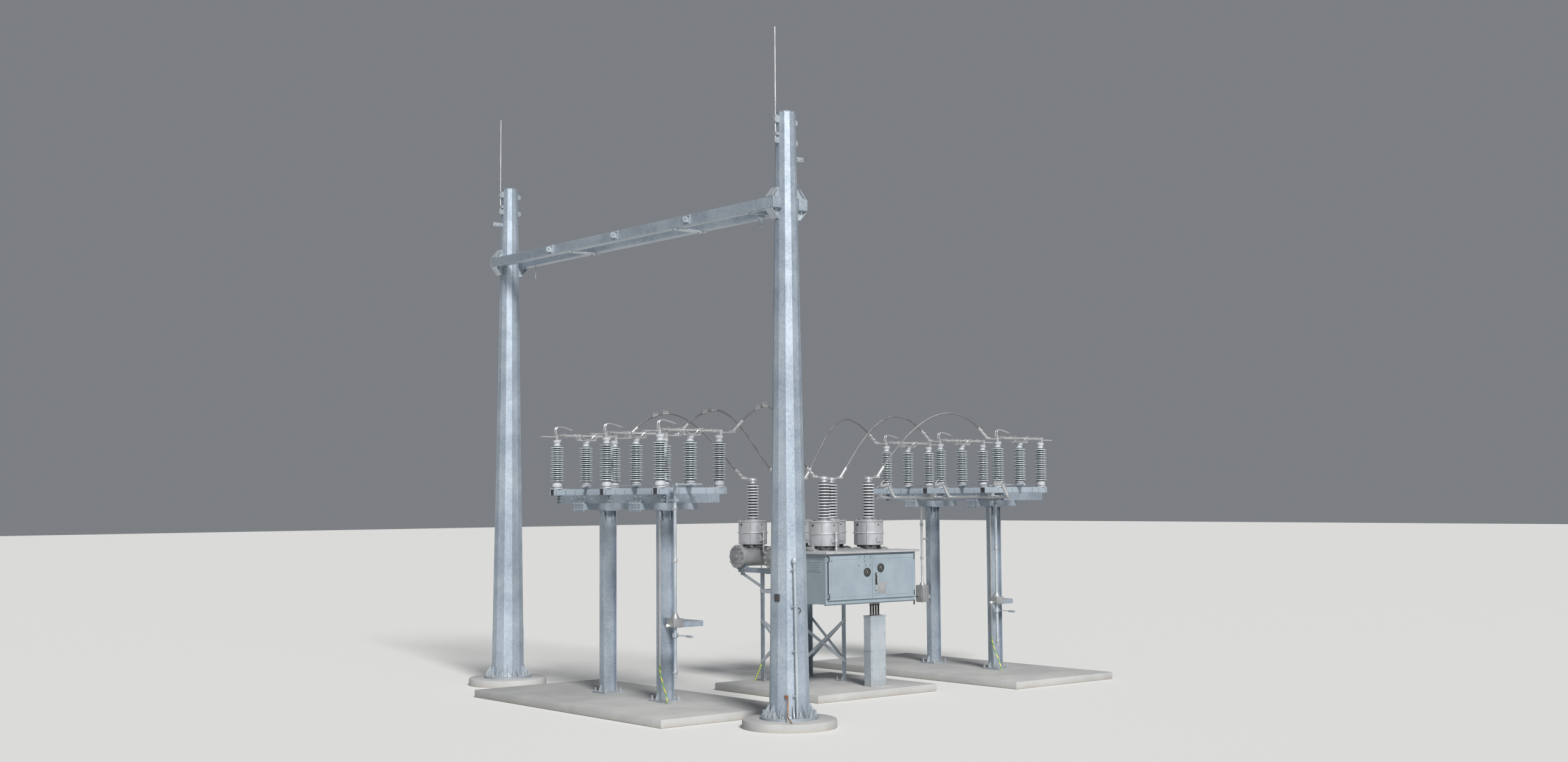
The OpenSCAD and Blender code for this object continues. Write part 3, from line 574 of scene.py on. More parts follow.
@dataclass(frozen=True)
class Moulded(Finish):
    """Moulded plastic or rubber, greyed by the weather.

    Attributes:
        stripe: colour of a stripe that winds round a sleeve, or None for none.
    """

    stripe: Colour | None = None

    def dress(self, skin: Skin) -> None:
        """Wire greying, fine texture and the stripe.

        Args:
            skin: the material.
        """
        patches = skin.effect(Weather(), 9.0)["Patches"]
        colour = skin.blend(patches, self.colour, self.tint)
        if self.stripe:
            band = skin.add("ShaderNodeTexWave", {"Vector": skin.where, "Scale": 9.0, "Distortion": 0.6},
                            bands_direction="DIAGONAL")
            colour = skin.blend(skin.within(band.outputs["Fac"], 0.6, 0.68), colour, self.stripe)
        skin.feed(Base_Color=colour, Roughness=skin.within(patches, 0.0, 1.0, self.rough, self.rough + 0.15))
        skin.relief(skin.noise(skin.where, 400.0, 2.0), 0.0002, 0.4)


class Stock:
    """Every finish of the bay."""

    pole_zinc = Galvanised("pole_zinc", "galvanised_steel", (0.27, 0.325, 0.39), (0.44, 0.505, 0.575),
                           0.45, 0.4, crystals=40.0, contrast=0.4, soil=0.4)
    beam_zinc = Galvanised("beam_zinc", "galvanised_steel", (0.25, 0.30, 0.36), (0.42, 0.48, 0.54), 0.4, 0.4,
                           crystals=50.0, contrast=0.45, soil=0.3)
    frame_zinc = Galvanised("frame_zinc", "galvanised_steel", (0.19, 0.23, 0.28), (0.33, 0.385, 0.44),
                            0.4, 0.42, crystals=60.0, contrast=0.45, soil=0.5, pale_above=3.19)
    new_zinc = Galvanised("new_zinc", "galvanised_steel", (0.33, 0.38, 0.43), (0.52, 0.57, 0.61), 0.45, 0.38,
                          crystals=90.0, contrast=0.4, soil=0.4)
    bolt_zinc = Galvanised("bolt_zinc", "galvanised_steel", (0.34, 0.36, 0.38), (0.52, 0.54, 0.56), 0.6, 0.4,
                           crystals=200.0, contrast=0.3, soil=0.4)
    bright_bar = Aluminium("bright_bar", "bright_aluminium", (0.56, 0.57, 0.58), (0.72, 0.73, 0.74),
                           0.7, 0.34, grain_scale=320.0, grain_depth=0.0001)
    drum_sheet = Aluminium("drum_sheet", "bright_aluminium", (0.44, 0.45, 0.48), (0.56, 0.57, 0.60),
                           0.6, 0.36, grain_scale=180.0)
    castings = Aluminium("castings", "cast_aluminium", (0.27, 0.28, 0.29), (0.42, 0.43, 0.44), 0.5, 0.52,
                         grain_scale=150.0, grain_depth=0.0008)
    strand = Aluminium("strand", "stranded_aluminium", (0.15, 0.155, 0.165), (0.26, 0.265, 0.275), 0.5, 0.5,
                       grain_scale=300.0)
    copper = Aluminium("copper", "copper", (0.30, 0.15, 0.08), (0.46, 0.25, 0.15), 0.7, 0.5,
                       grain_scale=200.0, grain_depth=0.0002)
    porcelain = Glaze("post_porcelain", "porcelain", (0.34, 0.39, 0.415), (0.43, 0.485, 0.51), 0.0, 0.32)
    bushing_glaze = Glaze("bushing_porcelain", "porcelain", (0.38, 0.40, 0.43), (0.46, 0.48, 0.51), 0.0, 0.32,
                          start=2.7835, pitch=0.575 / 12)
    enamel = SheetPaint("enamel", "cabinet_paint", (0.24, 0.295, 0.335), (0.27, 0.325, 0.37), 0.0, 0.4)
    cap_paint = SheetPaint("cap_paint", "cast_aluminium", (0.40, 0.42, 0.45), (0.48, 0.50, 0.53), 0.0, 0.42)
    cast_concrete = Concrete("cast_concrete", "concrete", (0.33, 0.335, 0.34), (0.46, 0.465, 0.46), 0.0, 0.85)
    rubber = Moulded("rubber", "black_rubber", (0.018, 0.018, 0.018), (0.05, 0.05, 0.05), 0.0, 0.6)
    plastic = Moulded("plastic", "black_plastic", (0.02, 0.02, 0.022), (0.06, 0.06, 0.06), 0.0, 0.32)
    ivory = Moulded("ivory", "dial_face", (0.78, 0.78, 0.75), (0.70, 0.70, 0.66), 0.0, 0.3)
    sleeve = Moulded("sleeve", "earth_strap", (0.10, 0.30, 0.06), (0.14, 0.34, 0.08), 0.0, 0.45,
                     stripe=(0.72, 0.62, 0.08))


# Places and outlines


def about(middle: float, half: float) -> Span:
    """The two values that lie on both sides of a middle."""
    return middle - half, middle + half


def spots(*values: float | Sequence[float]) -> list[Point]:
    """Every place that has one of the values given for each axis."""
    return list(product(*(v if isinstance(v, Iterable) else (v,) for v in values)))


def circle(middle: Point, radius: float, count: int, axis: Axis = Axis.UP, start: float = 0.0) -> list[Point]:
    """Places spread round a circle.

    Args:
        middle: the circle's middle.
        radius: its radius.
        count: how many places.
        axis: the direction it faces.
        start: angle of the first place in degrees.

    Returns:
        The places.
    """
    turn = axis.turn()
    angles = (math.radians(start) + math.tau * k / count for k in range(count))
    return [Vector(middle) + turn @ Vector((radius * math.cos(a), radius * math.sin(a), 0)) for a in angles]


def placed(at: Point, *turns: tuple[float, str]) -> Matrix:
    """Transform that turns a part and moves it to a place.

    Args:
        at: the place.
        *turns: degrees and axis of each turn, each about the axes that the ones before it made.

    Returns:
        The transform.
    """
    made = Matrix.Translation(at)
    for degrees, axis in turns:
        made = made @ Matrix.Rotation(math.radians(degrees), 4, axis)
    return made


def nose(x: float, reach: float, half: float) -> Outline:
    """Points round the end of a lug that starts at x."""
    angles = [math.radians(degrees) for degrees in range(-75, 90, 15)]
    return [(x + reach * math.cos(a), half * math.sin(a)) for a in angles]


def collar(inner: float, outer: float, high: float, slope: Span | None = None, low: float = 0.0) -> Outline:
    """Half outline of a ring, or of a disc where the inner radius is 0.

    Args:
        inner: its inner radius.
        outer: its outer radius.
        high: height of its top.
        slope: how far its rims are taken off inwards and upwards.
        low: height of its underside.

    Returns:
        The (radius, height) pairs.
    """
    rim = [(outer, low), (outer, high)]
    if slope:
        inwards, up = slope
        rim = [(outer - inwards, low), (outer, low + up), (outer, high - up), (outer - inwards, high)]
    return [(inner, low), *rim, (inner, high)]


def put(name: str, data: bpy.types.ID) -> bpy.types.Object:
    """Make an object and link it to the scene.

    Args:
        name: its name.
        data: its mesh, curve, light or camera.

    Returns:
        The object.
    """
    made = bpy.data.objects.new(name, data)
    bpy.context.scene.collection.objects.link(made)
    return made


def dress_nodes(finish: Finish, *nodes: str) -> None:
    """Give model nodes that stay as they are their finish.

    Args:
        finish: the finish.
        *nodes: the nodes' names.
    """
    for name in nodes:
        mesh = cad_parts[name].data
        mesh.materials.clear()
        mesh.materials.append(finish.material())
        LOG.info("%s keeps its shape in %s", name, finish.name)


# Shaping


class Work:
    """A piece on the bench: bmesh operators add to it until it is finished."""

    def __init__(self) -> None:
        """Start with an empty mesh."""
        self.bm = bmesh.new()

    def take(self, part: bmesh.types.BMesh, place: Matrix | None = None) -> "Work":
        """Put a finished part onto the piece.

        Args:
            part: the part, which is used up.
            place: where it goes.

        Returns:
            The piece.
        """
        if place is not None:
            part.transform(place)
        mesh = bpy.data.meshes.new("part")
        part.to_mesh(mesh)
        part.free()
        self.bm.from_mesh(mesh)
        bpy.data.meshes.remove(mesh)
        return self

    @staticmethod
    def round_off(part: bmesh.types.BMesh, edges: list[bmesh.types.BMEdge], by: float,
                  segments: int = 1) -> None:
        """Bevel edges of a part.

        Args:
            part: the part.
            edges: the edges.
            by: how much is taken off, or 0 for nothing.
            segments: faces across a bevel.
        """
        if by:
            bmesh.ops.bevel(part, geom=edges, offset=by, offset_type="OFFSET", segments=segments, profile=0.5,
                            affect="EDGES", material=-1, clamp_overlap=True)

    def box(self, x: Span, y: Span, z: Span, edge: float = 0.0, segments: int = 1,
            place: Matrix | None = None) -> "Work":
        """Add a box.

        Args:
            x: its two ends along X, in either order.
            y: its two ends along Y.
            z: its two ends along Z.
            edge: how much its edges are rounded off.
            segments: faces across a rounded edge.
            place: extra transform after it.

        Returns:
            The piece.
        """
        part = bmesh.new()
        low, high = (Vector([end(span) for span in (x, y, z)]) for end in (min, max))
        bmesh.ops.create_cube(part, size=1.0)
        bmesh.ops.scale(part, vec=high - low, verts=part.verts)
        bmesh.ops.translate(part, vec=(low + high) / 2, verts=part.verts)
        self.round_off(part, part.edges[:], edge, segments)
        return self.take(part, place)

    def hoop(self, x: Span, y: Span, z: Span, wall: float, edge: float, through: int = 2) -> "Work":
        """Add the four walls of a rectangular frame.

        Args:
            x: its two ends along X.
            y: its two ends along Y.
            z: its two ends along Z.
            wall: thickness of its walls, inwards.
            edge: how much the walls' edges are rounded off.
            through: index of the axis along which it is open.

        Returns:
            The piece.
        """
        for axis in {0, 1, 2} - {through}:
            for end, inwards in zip((x, y, z)[axis], (wall, -wall)):
                spans = [x, y, z]
                spans[axis] = (end, end + inwards)
                self.box(*spans, edge)
        return self

    def rod(self, start: Point, end: Point, radius: float, sides: int = 16, end_radius: float | None = None,
            edge: float = 0.0) -> "Work":
        """Add a straight round bar.

        Args:
            start: middle of one end.
            end: middle of the other end.
            radius: its radius at the start.
            sides: faces round it.
            end_radius: its radius at the end, or None for the same.
            edge: how much the rims are chamfered.

        Returns:
            The piece.
        """
        part = bmesh.new()
        way = Vector(end) - Vector(start)
        bmesh.ops.create_cone(part, cap_ends=True, cap_tris=False, segments=sides, radius1=radius,
                              radius2=radius if end_radius is None else end_radius, depth=way.length)
        rims = [e for e in part.edges if abs(e.verts[0].co.z - e.verts[1].co.z) < 1e-6]
        self.round_off(part, rims, edge)
        turn = way.to_track_quat("Z", "Y").to_matrix().to_4x4()
        return self.take(part, Matrix.Translation((Vector(start) + Vector(end)) / 2) @ turn)

    def turned(self, outline: Outline, at: Point, axis: Axis = Axis.UP, sides: int = 32) -> "Work":
        """Add a turned part.

        Args:
            outline: its half outline as (radius, height) pairs, upwards on the outside.
            at: where height 0 lies on the axis.
            axis: direction of the heights.
            sides: faces round it.

        Returns:
            The piece.
        """
        part = bmesh.new()
        points = [part.verts.new((r, 0.0, z)) for r, z in outline]
        edges = [part.edges.new(pair) for pair in zip(points, points[1:])]
        bmesh.ops.spin(part, geom=points + edges, cent=(0, 0, 0), axis=(0, 0, 1), dvec=(0, 0, 0),
                       angle=math.tau, steps=sides, use_merge=True, use_duplicate=False)
        bmesh.ops.remove_doubles(part, verts=part.verts, dist=1e-5)
        bmesh.ops.recalc_face_normals(part, faces=part.faces)
        return self.take(part, Matrix.Translation(at) @ axis.turn())

    def cut_plate(self, outline: Outline, thick: float, place: Matrix, edge: float = 0.0) -> "Work":
        """Add a flat plate of any outline.

        Args:
            outline: its corners in the plate's own X and Y.
            thick: its thickness along its own Z, from 0.
            place: where the plate's own axes lie.
            edge: how much its edges are chamfered.

        Returns:
            The piece.
        """
        part = bmesh.new()
        face = part.faces.new([part.verts.new((x, y, 0.0)) for x, y in outline])
        grown = bmesh.ops.extrude_face_region(part, geom=[face])["geom"]
        far = [v for v in grown if isinstance(v, bmesh.types.BMVert)]
        bmesh.ops.translate(part, vec=(0, 0, thick), verts=far)
        bmesh.ops.recalc_face_normals(part, faces=part.faces)
        self.round_off(part, part.edges[:], edge)
        return self.take(part, place)

    def take_curve(self, curve: bpy.types.Curve) -> "Work":
        """Turn a curve into mesh and put it onto the piece.

        Args:
            curve: the curve, which is used up.

        Returns:
            The piece.
        """
        holder = put("curve", curve)
        bpy.context.view_layer.update()
        mesh = bpy.data.meshes.new_from_object(holder.evaluated_get(bpy.context.evaluated_depsgraph_get()))
        part = bmesh.new()
        part.from_mesh(mesh)
        bmesh.ops.remove_doubles(part, verts=part.verts, dist=1e-5)
        bmesh.ops.recalc_face_normals(part, faces=part.faces)
        bpy.data.objects.remove(holder)
        bpy.data.meshes.remove(mesh)
        bpy.data.curves.remove(curve)
        return self.take(part)

    def bent(self, points: Sequence[Point], radius: float, at: Point = (0, 0, 0)) -> "Work":
        """Add a round bar that curves along points.

        Args:
            points: what it follows.
            radius: its radius.
            at: where the points are measured from.

        Returns:
            The piece.
        """
        curve = bpy.data.curves.new("bar", "CURVE")
        curve.dimensions = "3D"
        curve.resolution_u = 5
        spline = curve.splines.new("NURBS")
        spline.points.add(len(points) - 1)
        for point, place in zip(spline.points, points):
            point.co = (*(Vector(at) + Vector(place)), 1.0)
        spline.order_u = 3
        spline.use_endpoint_u = True
        curve.bevel_depth = radius
        curve.bevel_resolution = 1
        curve.use_fill_caps = True
        return self.take_curve(curve)

    def rope(self, points: Sequence[Point], radius: float, strands: int, lay: float) -> "Work":
        """Add a stranded rope whose strands wind round it.

        Args:
            points: close points that it follows.
            radius: its radius over the strands.
            strands: how many strands show round it.
            lay: length of one turn of the strands.

        Returns:
            The piece.
        """
        section = bpy.data.curves.new("section", "CURVE")
        section.dimensions = "2D"
        ring = section.splines.new("POLY")
        ring.points.add(strands * 3 - 1)
        for k, point in enumerate(ring.points):
            r = radius * (0.86 if k % 3 == 0 else 1.0)
            angle = math.tau * k / (strands * 3)
            point.co = (r * math.cos(angle), r * math.sin(angle), 0.0, 1.0)
        ring.use_cyclic_u = True
        curve = bpy.data.curves.new("rope", "CURVE")
        curve.dimensions = "3D"
        spline = curve.splines.new("POLY")
        spline.points.add(len(points) - 1)
        run = 0.0
        for k, (point, place) in enumerate(zip(spline.points, points)):
            run += (Vector(place) - Vector(points[k - 1])).length if k else 0.0
            point.co = (*place, 1.0)
            point.tilt = math.tau * run / lay
        outline = put("section", section)
        curve.bevel_mode = "OBJECT"
        curve.bevel_object = outline
        curve.use_fill_caps = True
        self.take_curve(curve)
        bpy.data.objects.remove(outline)
        bpy.data.curves.remove(section)
        return self

    def bolt(self, at: Point, axis: Axis, size: float = 0.016, stud: float = 0.0) -> "Work":
        """Add a hexagon head or nut on a washer.

        Args:
            at: middle of the washer's seat.
            axis: direction it stands up in.
            size: thread diameter.
            stud: how far a threaded end stands out of a nut.

        Returns:
            The piece.
        """
        up = Vector(axis.value)
        seat = Vector(at)
        self.rod(seat - up * 0.001, seat + up * size * 0.18, size * 1.05, 12)
        self.rod(seat + up * size * 0.18, seat + up * size * 0.86, size * 0.9, 6, edge=size * 0.06)
        if stud:
            self.rod(seat + up * size * 0.8, seat + up * (size * 0.86 + stud), size * 0.5, 8)
        return self

    def bolts(self, places: Iterable[Point], axis: Axis, size: float = 0.016, stud: float = 0.0) -> None:
        """Add a bolt at each place."""
        for at in places:
            self.bolt(at, axis, size, stud)

    def piece(self, name: str, finish: Finish, *replaces: str, body: str = ROOT,
              crease: float = 34.0) -> None:
        """Finish the piece and hang it on its body.

        Args:
            name: its name.
            finish: its finish.
            *replaces: model nodes that it stands for.
            body: the body it moves with.
            crease: angle in degrees over which an edge stays sharp.
        """
        mesh = bpy.data.meshes.new(name)
        self.bm.to_mesh(mesh)
        self.bm.free()
        mesh.shade_smooth()
        mesh.set_sharp_from_angle(angle=math.radians(crease))
        mesh.materials.append(finish.material())
        made = put(name, mesh)
        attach(made, body)
        if replaces:
            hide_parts(*replaces)
        LOG.info("%s: %d faces on %s", name, len(mesh.polygons), body)


# Studio


@dataclass(frozen=True)
class Lamp:
    """A soft lamp so far away that it lights everything evenly.

    Attributes:
        name: its name.
        at: the side it shines from.
        strength: its strength.
        spread: how many degrees across it looks, which softens its shadows.
        colour: its colour.
    """

    name: str
    at: tuple[float, float, float]
    strength: float
    spread: float
    colour: Colour

    def hang(self, aim: Point) -> None:
        """Hang the lamp.

        Args:
            aim: what it shines on.
        """
        light = bpy.data.lights.new(self.name, "SUN")
        light.energy = self.strength
        light.angle = math.radians(self.spread)
        light.color = self.colour
        made = put(self.name, light)
        made.location = self.at
        made.rotation_euler = (Vector(aim) - Vector(self.at)).to_track_quat("-Z", "Y").to_euler()


@dataclass
class Studio:
    """Pale floor, soft lights and the camera.

    Attributes:
        eye: the camera's place.
        azimuth: degrees that it looks to the left of +Y.
        pitch: degrees that it looks up.
        roll: degrees that it leans.
        lens: focal length in millimetres.
        sensor: width of its picture in millimetres.
        sight: how far it sees.
        middle: what the lamps aim at.
        floor_half: half the floor's side, past what any camera sees.
        floor_shade: the floor's colour.
        air: colour of the even light.
        air_strength: its strength.
        lamps: the lamps.
    """

    eye: Point = (21.822, -15.105, 3.099)
    azimuth: float = 50.45
    pitch: float = 3.95
    roll: float = -0.4
    lens: float = 39.4
    sensor: float = 36.0
    sight: float = 500.0
    middle: Point = (0.0, 3.0, 2.5)
    floor_half: float = 160.0
    floor_shade: Colour = (0.72, 0.72, 0.71)
    air: Colour = (0.84, 0.88, 0.94)
    air_strength: float = 0.24
    lamps: tuple[Lamp, ...] = (Lamp("key", (19.0, -4.5, 18.0), 4.0, 14.0, (1.0, 0.98, 0.95)),
                               Lamp("low_fill", (24.0, -10.5, 7.2), 0.6, 60.0, (0.94, 0.97, 1.0)))

    def floor(self) -> None:
        """Lay the floor."""
        part = bmesh.new()
        bmesh.ops.create_grid(part, x_segments=1, y_segments=1, size=self.floor_half)
        mesh = bpy.data.meshes.new("floor")
        part.to_mesh(mesh)
        part.free()
        material = bpy.data.materials.new("floor_paper")
        material.use_nodes = True
        shader = material.node_tree.nodes["Principled BSDF"]
        shader.inputs["Base Color"].default_value = (*self.floor_shade, 1.0)
        shader.inputs["Roughness"].default_value = 0.9
        mesh.materials.append(material)
        made = put("floor", mesh)

    def world(self) -> None:
        """Fill the room with even pale light."""
        world = bpy.data.worlds.new("room")
        world.use_nodes = True
        sky = world.node_tree.nodes["Background"]
        sky.inputs["Color"].default_value = (*self.air, 1.0)
        sky.inputs["Strength"].default_value = self.air_strength
        bpy.context.scene.world = world
        bpy.context.scene.view_settings.view_transform = "Standard"

    def camera(self) -> None:
        """Set the camera up at the photograph's viewpoint."""
        data = bpy.data.cameras.new("camera")
        data.lens = self.lens
        data.sensor_width = self.sensor
        data.clip_end = self.sight
        made = put("camera", data)
        made.matrix_world = placed(self.eye, (self.azimuth, "Z"), (90.0 + self.pitch, "X"), (self.roll, "Z"))
        bpy.context.scene.camera = made

    def build(self) -> None:
        """Set up the whole studio."""
        self.camera()
        self.floor()
        self.world()
        for lamp in self.lamps:
            lamp.hang(self.middle)


# Footings and gantry


@dataclass
class Footings:
    """Cast footings and pads.

    Attributes:
        top: height of the concrete.
        poles_x: the poles' places across the bay.
        pads: ends of the rectangular pads along X and along Y.
    """

    top: float = 0.12
    poles_x: Span = (-3.9, 3.6)
    pads: tuple[tuple[Span, Span], ...] = (
        ((-2.55, 2.55), (-1.4, 1.0)), ((-2.55, 2.55), (5.65, 8.05)), ((-0.76, 1.835), (2.03, 4.55)))

    def build(self) -> None:
        """Cast them with their arrises taken off."""
        work = Work()
        top = self.top
        round_pad = [(0, 0), (0.65, 0), (0.65, top - 0.018), (0.645, top - 0.007), (0.632, top), (0, top)]
        for x in self.poles_x:
            work.turned(round_pad, (x, 0, 0), sides=72)
        for x, y in self.pads:
            work.box(x, y, (0, top), 0.014, 2)
        work.piece("concrete_pads", Stock.cast_concrete, "foundations")


@dataclass
class Gantry:
    """Two tapered poles, the two beam members between them and what is fixed to them.

    Attributes:
        poles_x: the poles' places.
        foot_z: where a pole starts, on its base plate.
        length: length of a pole.
        half_low: half width across the flats at the bottom.
        half_top: half width across the flats at the top.
        beam_z: height of the members' middle.
        beam_w: side of a member.
        beam_ends: where the members end, along X.
        eyes_x: places of the landing plates.
        lugs_z: heights of the half-round lugs.
        stub_z: height of the drilled stub.
        hatch_z: height of the hand hole.
        battens_x: places of the battens under the members.
        conduit_y: place of the right pole's conduit along the bay.
        conduit_z: heights of its ends.
        clips_z: heights of its clips.
        rod_clamps_z: heights of the lightning rods' clamps.
        rod_joint_z: height of their joint.
        rod_tip_z: height where their tips start.
    """

    poles_x: Span = (-3.9, 3.6)
    foot_z: float = 0.155
    length: float = 8.33
    half_low: float = 0.27
    half_top: float = 0.135
    beam_z: float = 7.2
    beam_w: float = 0.15
    beam_ends: Span = (-4.0, 3.7)
    eyes_x: tuple[float, ...] = (-2.03, -0.15, 1.73)
    lugs_z: Span = (8.37, 8.08)
    stub_z: float = 7.86
    hatch_z: float = 0.82
    battens_x: Span = (-1.6, 1.3)
    conduit_y: float = -0.11
    conduit_z: Span = (0.135, 2.26)
    clips_z: tuple[float, ...] = (0.45, 1.05, 1.65, 2.15)
    rod_clamps_z: Span = (8.415, 8.175)
    rod_joint_z: float = 8.62
    rod_tip_z: float = 9.6

    def half(self, z: float) -> float:
        """Half width of a pole across its flats at a height."""
        return self.half_low + (self.half_top - self.half_low) * (z - self.foot_z) / self.length

    @property
    def beam_low(self) -> float:
        """Height of the members' underside."""
        return self.beam_z - self.beam_w / 2

    @property
    def beam_y(self) -> float:
        """Distance of a member's middle from the poles' middle."""
        return self.half(self.beam_low) + 0.0003 + self.beam_w / 2

    def foot(self, work: Work, x: float) -> None:
        """Put stiffening ribs, a weld and anchor nuts on a base plate.

        Args:
            work: the piece.
            x: the pole's place.
        """
        base = self.foot_z
        corner = self.half(base) / math.cos(math.radians(15))
        inner = self.half(base) - 0.002
        rib = [(inner, 0), (0.375, 0), (0.375, 0.03), (inner + 0.012, 0.17), (inner, 0.17)]
        for k in range(12):
            turn = placed((x, 0, base), (30 * k, "Z"), (90, "X"))
            work.cut_plate(rib, 0.012, turn @ Matrix.Translation((0, 0, -0.006)), 0.0015)
        work.bolts(circle((x, 0, base), 0.352, 12, start=15), Axis.UP, 0.036, 0.05)
        weld = [(corner - 0.02, 0), (corner + 0.006, 0), (corner - 0.002, 0.012), (corner - 0.02, 0.014)]
        work.turned(weld, (x, 0, base), sides=48)

    def crown(self, work: Work, x: float, stub_side: int) -> None:
        """Put the cap, the half-round lugs and the drilled stub on a pole.

        Args:
            work: the piece.
            x: the pole's place.
            stub_side: which side the stub is on, -1 for -Y.
        """
        tip = self.half_top / math.cos(math.radians(15))
        cap = [(0, 0), (tip + 0.006, 0), (tip + 0.006, 0.006), (tip - 0.004, 0.009), (0, 0.012)]
        work.turned(cap, (x, 0, self.foot_z + self.length), sides=12)
        for z, side in product(self.lugs_z, SIDES):
            at = x + (0.034 if side < 0 else 0)
            root, reach = self.half(z) - 0.01, self.half(z) + 0.045
            lug = [(root, -0.042), (reach, -0.042), *nose(reach, 0.04, 0.042), (reach, 0.042), (root, 0.042)]
            turn = placed((at, 0, z), (90 * side, "Z"), (90, "X"))
            work.cut_plate(lug, 0.01, turn @ Matrix.Translation((0, 0, -0.005)), 0.001)
            eye = side * (reach + 0.008)
            work.rod((at - 0.007, eye, z), (at + 0.007, eye, z), 0.013)
        z = self.stub_z
        y = stub_side * (self.half(z) - 0.004)
        work.box(about(x, 0.006), (y, y + stub_side * 0.18), about(z, 0.032), 0.002)
        work.bolts([(x + 0.006, y + stub_side * out, z) for out in (0.06, 0.14)], Axis.PLUS_X, 0.014)

    def poles(self) -> None:
        """Dress the poles and add their feet, crowns, seams and hand holes."""
        dress_nodes(Stock.pole_zinc, "gantry_pole_left", "gantry_pole_right")
        low, high = self.foot_z + 0.02, self.foot_z + self.length
        y, z = self.half(self.hatch_z), self.hatch_z
        for name, x, stub in zip(("left", "right"), self.poles_x, SIDES):
            work = Work()
            self.foot(work, x)
            self.crown(work, x, stub)
            work.rod((x - self.half(low) - 0.001, 0, low), (x - self.half(high) - 0.001, 0, high), 0.005, 6)
            leaning = placed((x, y, z), (-89.1, "X"))
            work.box((-0.07, 0.07), (-0.13, 0.13), (-0.004, 0.008), 0.003, place=leaning)
            work.bolts(spots(about(x, 0.05), y + 0.006, about(z, 0.11)), Axis.PLUS_Y, 0.01)
            work.piece(f"pole_{name}_fittings", Stock.new_zinc)

    def right_pole_gear(self) -> None:
        """Add the conduit, hook, plate and earth lead of the right pole."""
        x, y = self.poles_x[1], self.conduit_y
        low, high = self.conduit_z
        foot, head = (x + self.half(z) + 0.022 for z in self.conduit_z)
        pipe = Work()
        pipe.rod((foot + 0.01, y, low), (head, y, high), 0.021)
        bell = [(0, 0), (0.034, 0), (0.038, 0.008), (0.038, 0.045), (0.03, 0.058), (0, 0.062)]
        pipe.turned(bell, (head, y, high - 0.02), sides=20)
        for z in self.clips_z:
            edge = x + self.half(z)
            pipe.box(about(edge, 0.004), about(y, 0.04), about(z, 0.014), 0.001)
            pipe.box((edge, edge + 0.048), about(y, 0.027), about(z, 0.012), 0.006, 2)
        pipe.piece("pole_conduit", Stock.new_zinc)
        hook = Work()
        hook.bent([(-0.01, 0, 0.03), (0.03, 0, 0.03), (0.055, 0, 0), (0.04, 0, -0.035), (0.02, 0, -0.03)],
                  0.007, (x + self.half(1.6), -0.04, 1.6))
        y = -self.half(1.77)
        hook.box((x, x + 0.1), (y - 0.012, y + 0.004), (1.715, 1.815), 0.003)
        hook.piece("pole_hook", Stock.plastic)
        lead = Work()
        y = -self.half(0.5) * 0.8
        lead.bent([(0.2, 0, 0.44), (0.24, -0.01, 0.42), (0.29, -0.05, 0.3), (0.33, -0.1, 0.2),
                   (0.42, -0.14, 0.16), (0.5, -0.14, 0.1)], 0.009, (x, y, 0))
        lead.box((x + 0.17, x + 0.215), about(y, 0.02), (0.42, 0.46), 0.003)
        lead.piece("pole_earth_lead", Stock.copper)

    def beams(self) -> None:
        """Replace the members by ones with rounded heels and closed ends, and hang their fittings."""
        work = Work()
        half, left, right = self.beam_w / 2, *self.beam_ends
        for y in about(0, self.beam_y):
            work.box((left + 0.006, right - 0.006), about(y, half), about(self.beam_z, half), 0.011, 3)
            for x in ((left, left + 0.008), (right, right - 0.008)):
                work.box(x, about(y, half + 0.003), about(self.beam_z, half + 0.003), 0.003)
        work.piece("beam_members", Stock.beam_zinc, "gantry_beams")
        extras = Work()
        low, x = self.beam_low, -3.42
        extras.rod((x, self.beam_y, low + 0.002), (x, self.beam_y, low - 0.22), 0.008, 10)
        extras.bolts(spots(x, self.beam_y, (low, low - 0.2)), Axis.DOWN)
        extras.box((3.05, 3.062), (-0.06, 0.06), (low - 0.17, low - 0.002), 0.002)
        extras.box((3.05, 3.1), about(0, self.beam_y), (low - 0.006, low), 0.001)
        extras.bolts(spots(3.075, about(0, self.beam_y), low - 0.006), Axis.DOWN, 0.014)
        extras.piece("beam_hangers", Stock.new_zinc)

    def brackets(self) -> None:
        """Dress the brackets and add their sloping plates, bolts and the battens' bolts."""
        dress_nodes(Stock.new_zinc, "gantry_brackets")
        work = Work()
        outer, inner = self.beam_y + self.beam_w / 2, self.half(self.beam_low) + 0.04
        for x, side, up in product(self.poles_x, SIDES, SIDES):
            seat = self.beam_z + up * (self.beam_w / 2 + 0.012)
            way = Vector((0, side * (inner - outer), up * 0.13))
            slope = placed((x, side * outer, seat)) @ way.to_track_quat("Y", "X").to_matrix().to_4x4()
            work.box((-0.006, 0.004), (0, way.length), (-0.078, 0.078), 0.002, place=slope)
            facing = Axis.UP if up > 0 else Axis.DOWN
            work.bolts(spots(about(x, 0.055), side * self.beam_y, seat), facing, 0.018, 0.012)
        for x in self.battens_x:
            places = spots(about(x, 0.06), about(0, self.beam_y), self.beam_low - 0.008)
            work.bolts(places, Axis.DOWN, 0.016, 0.01)
        work.piece("bracket_plates", Stock.new_zinc)

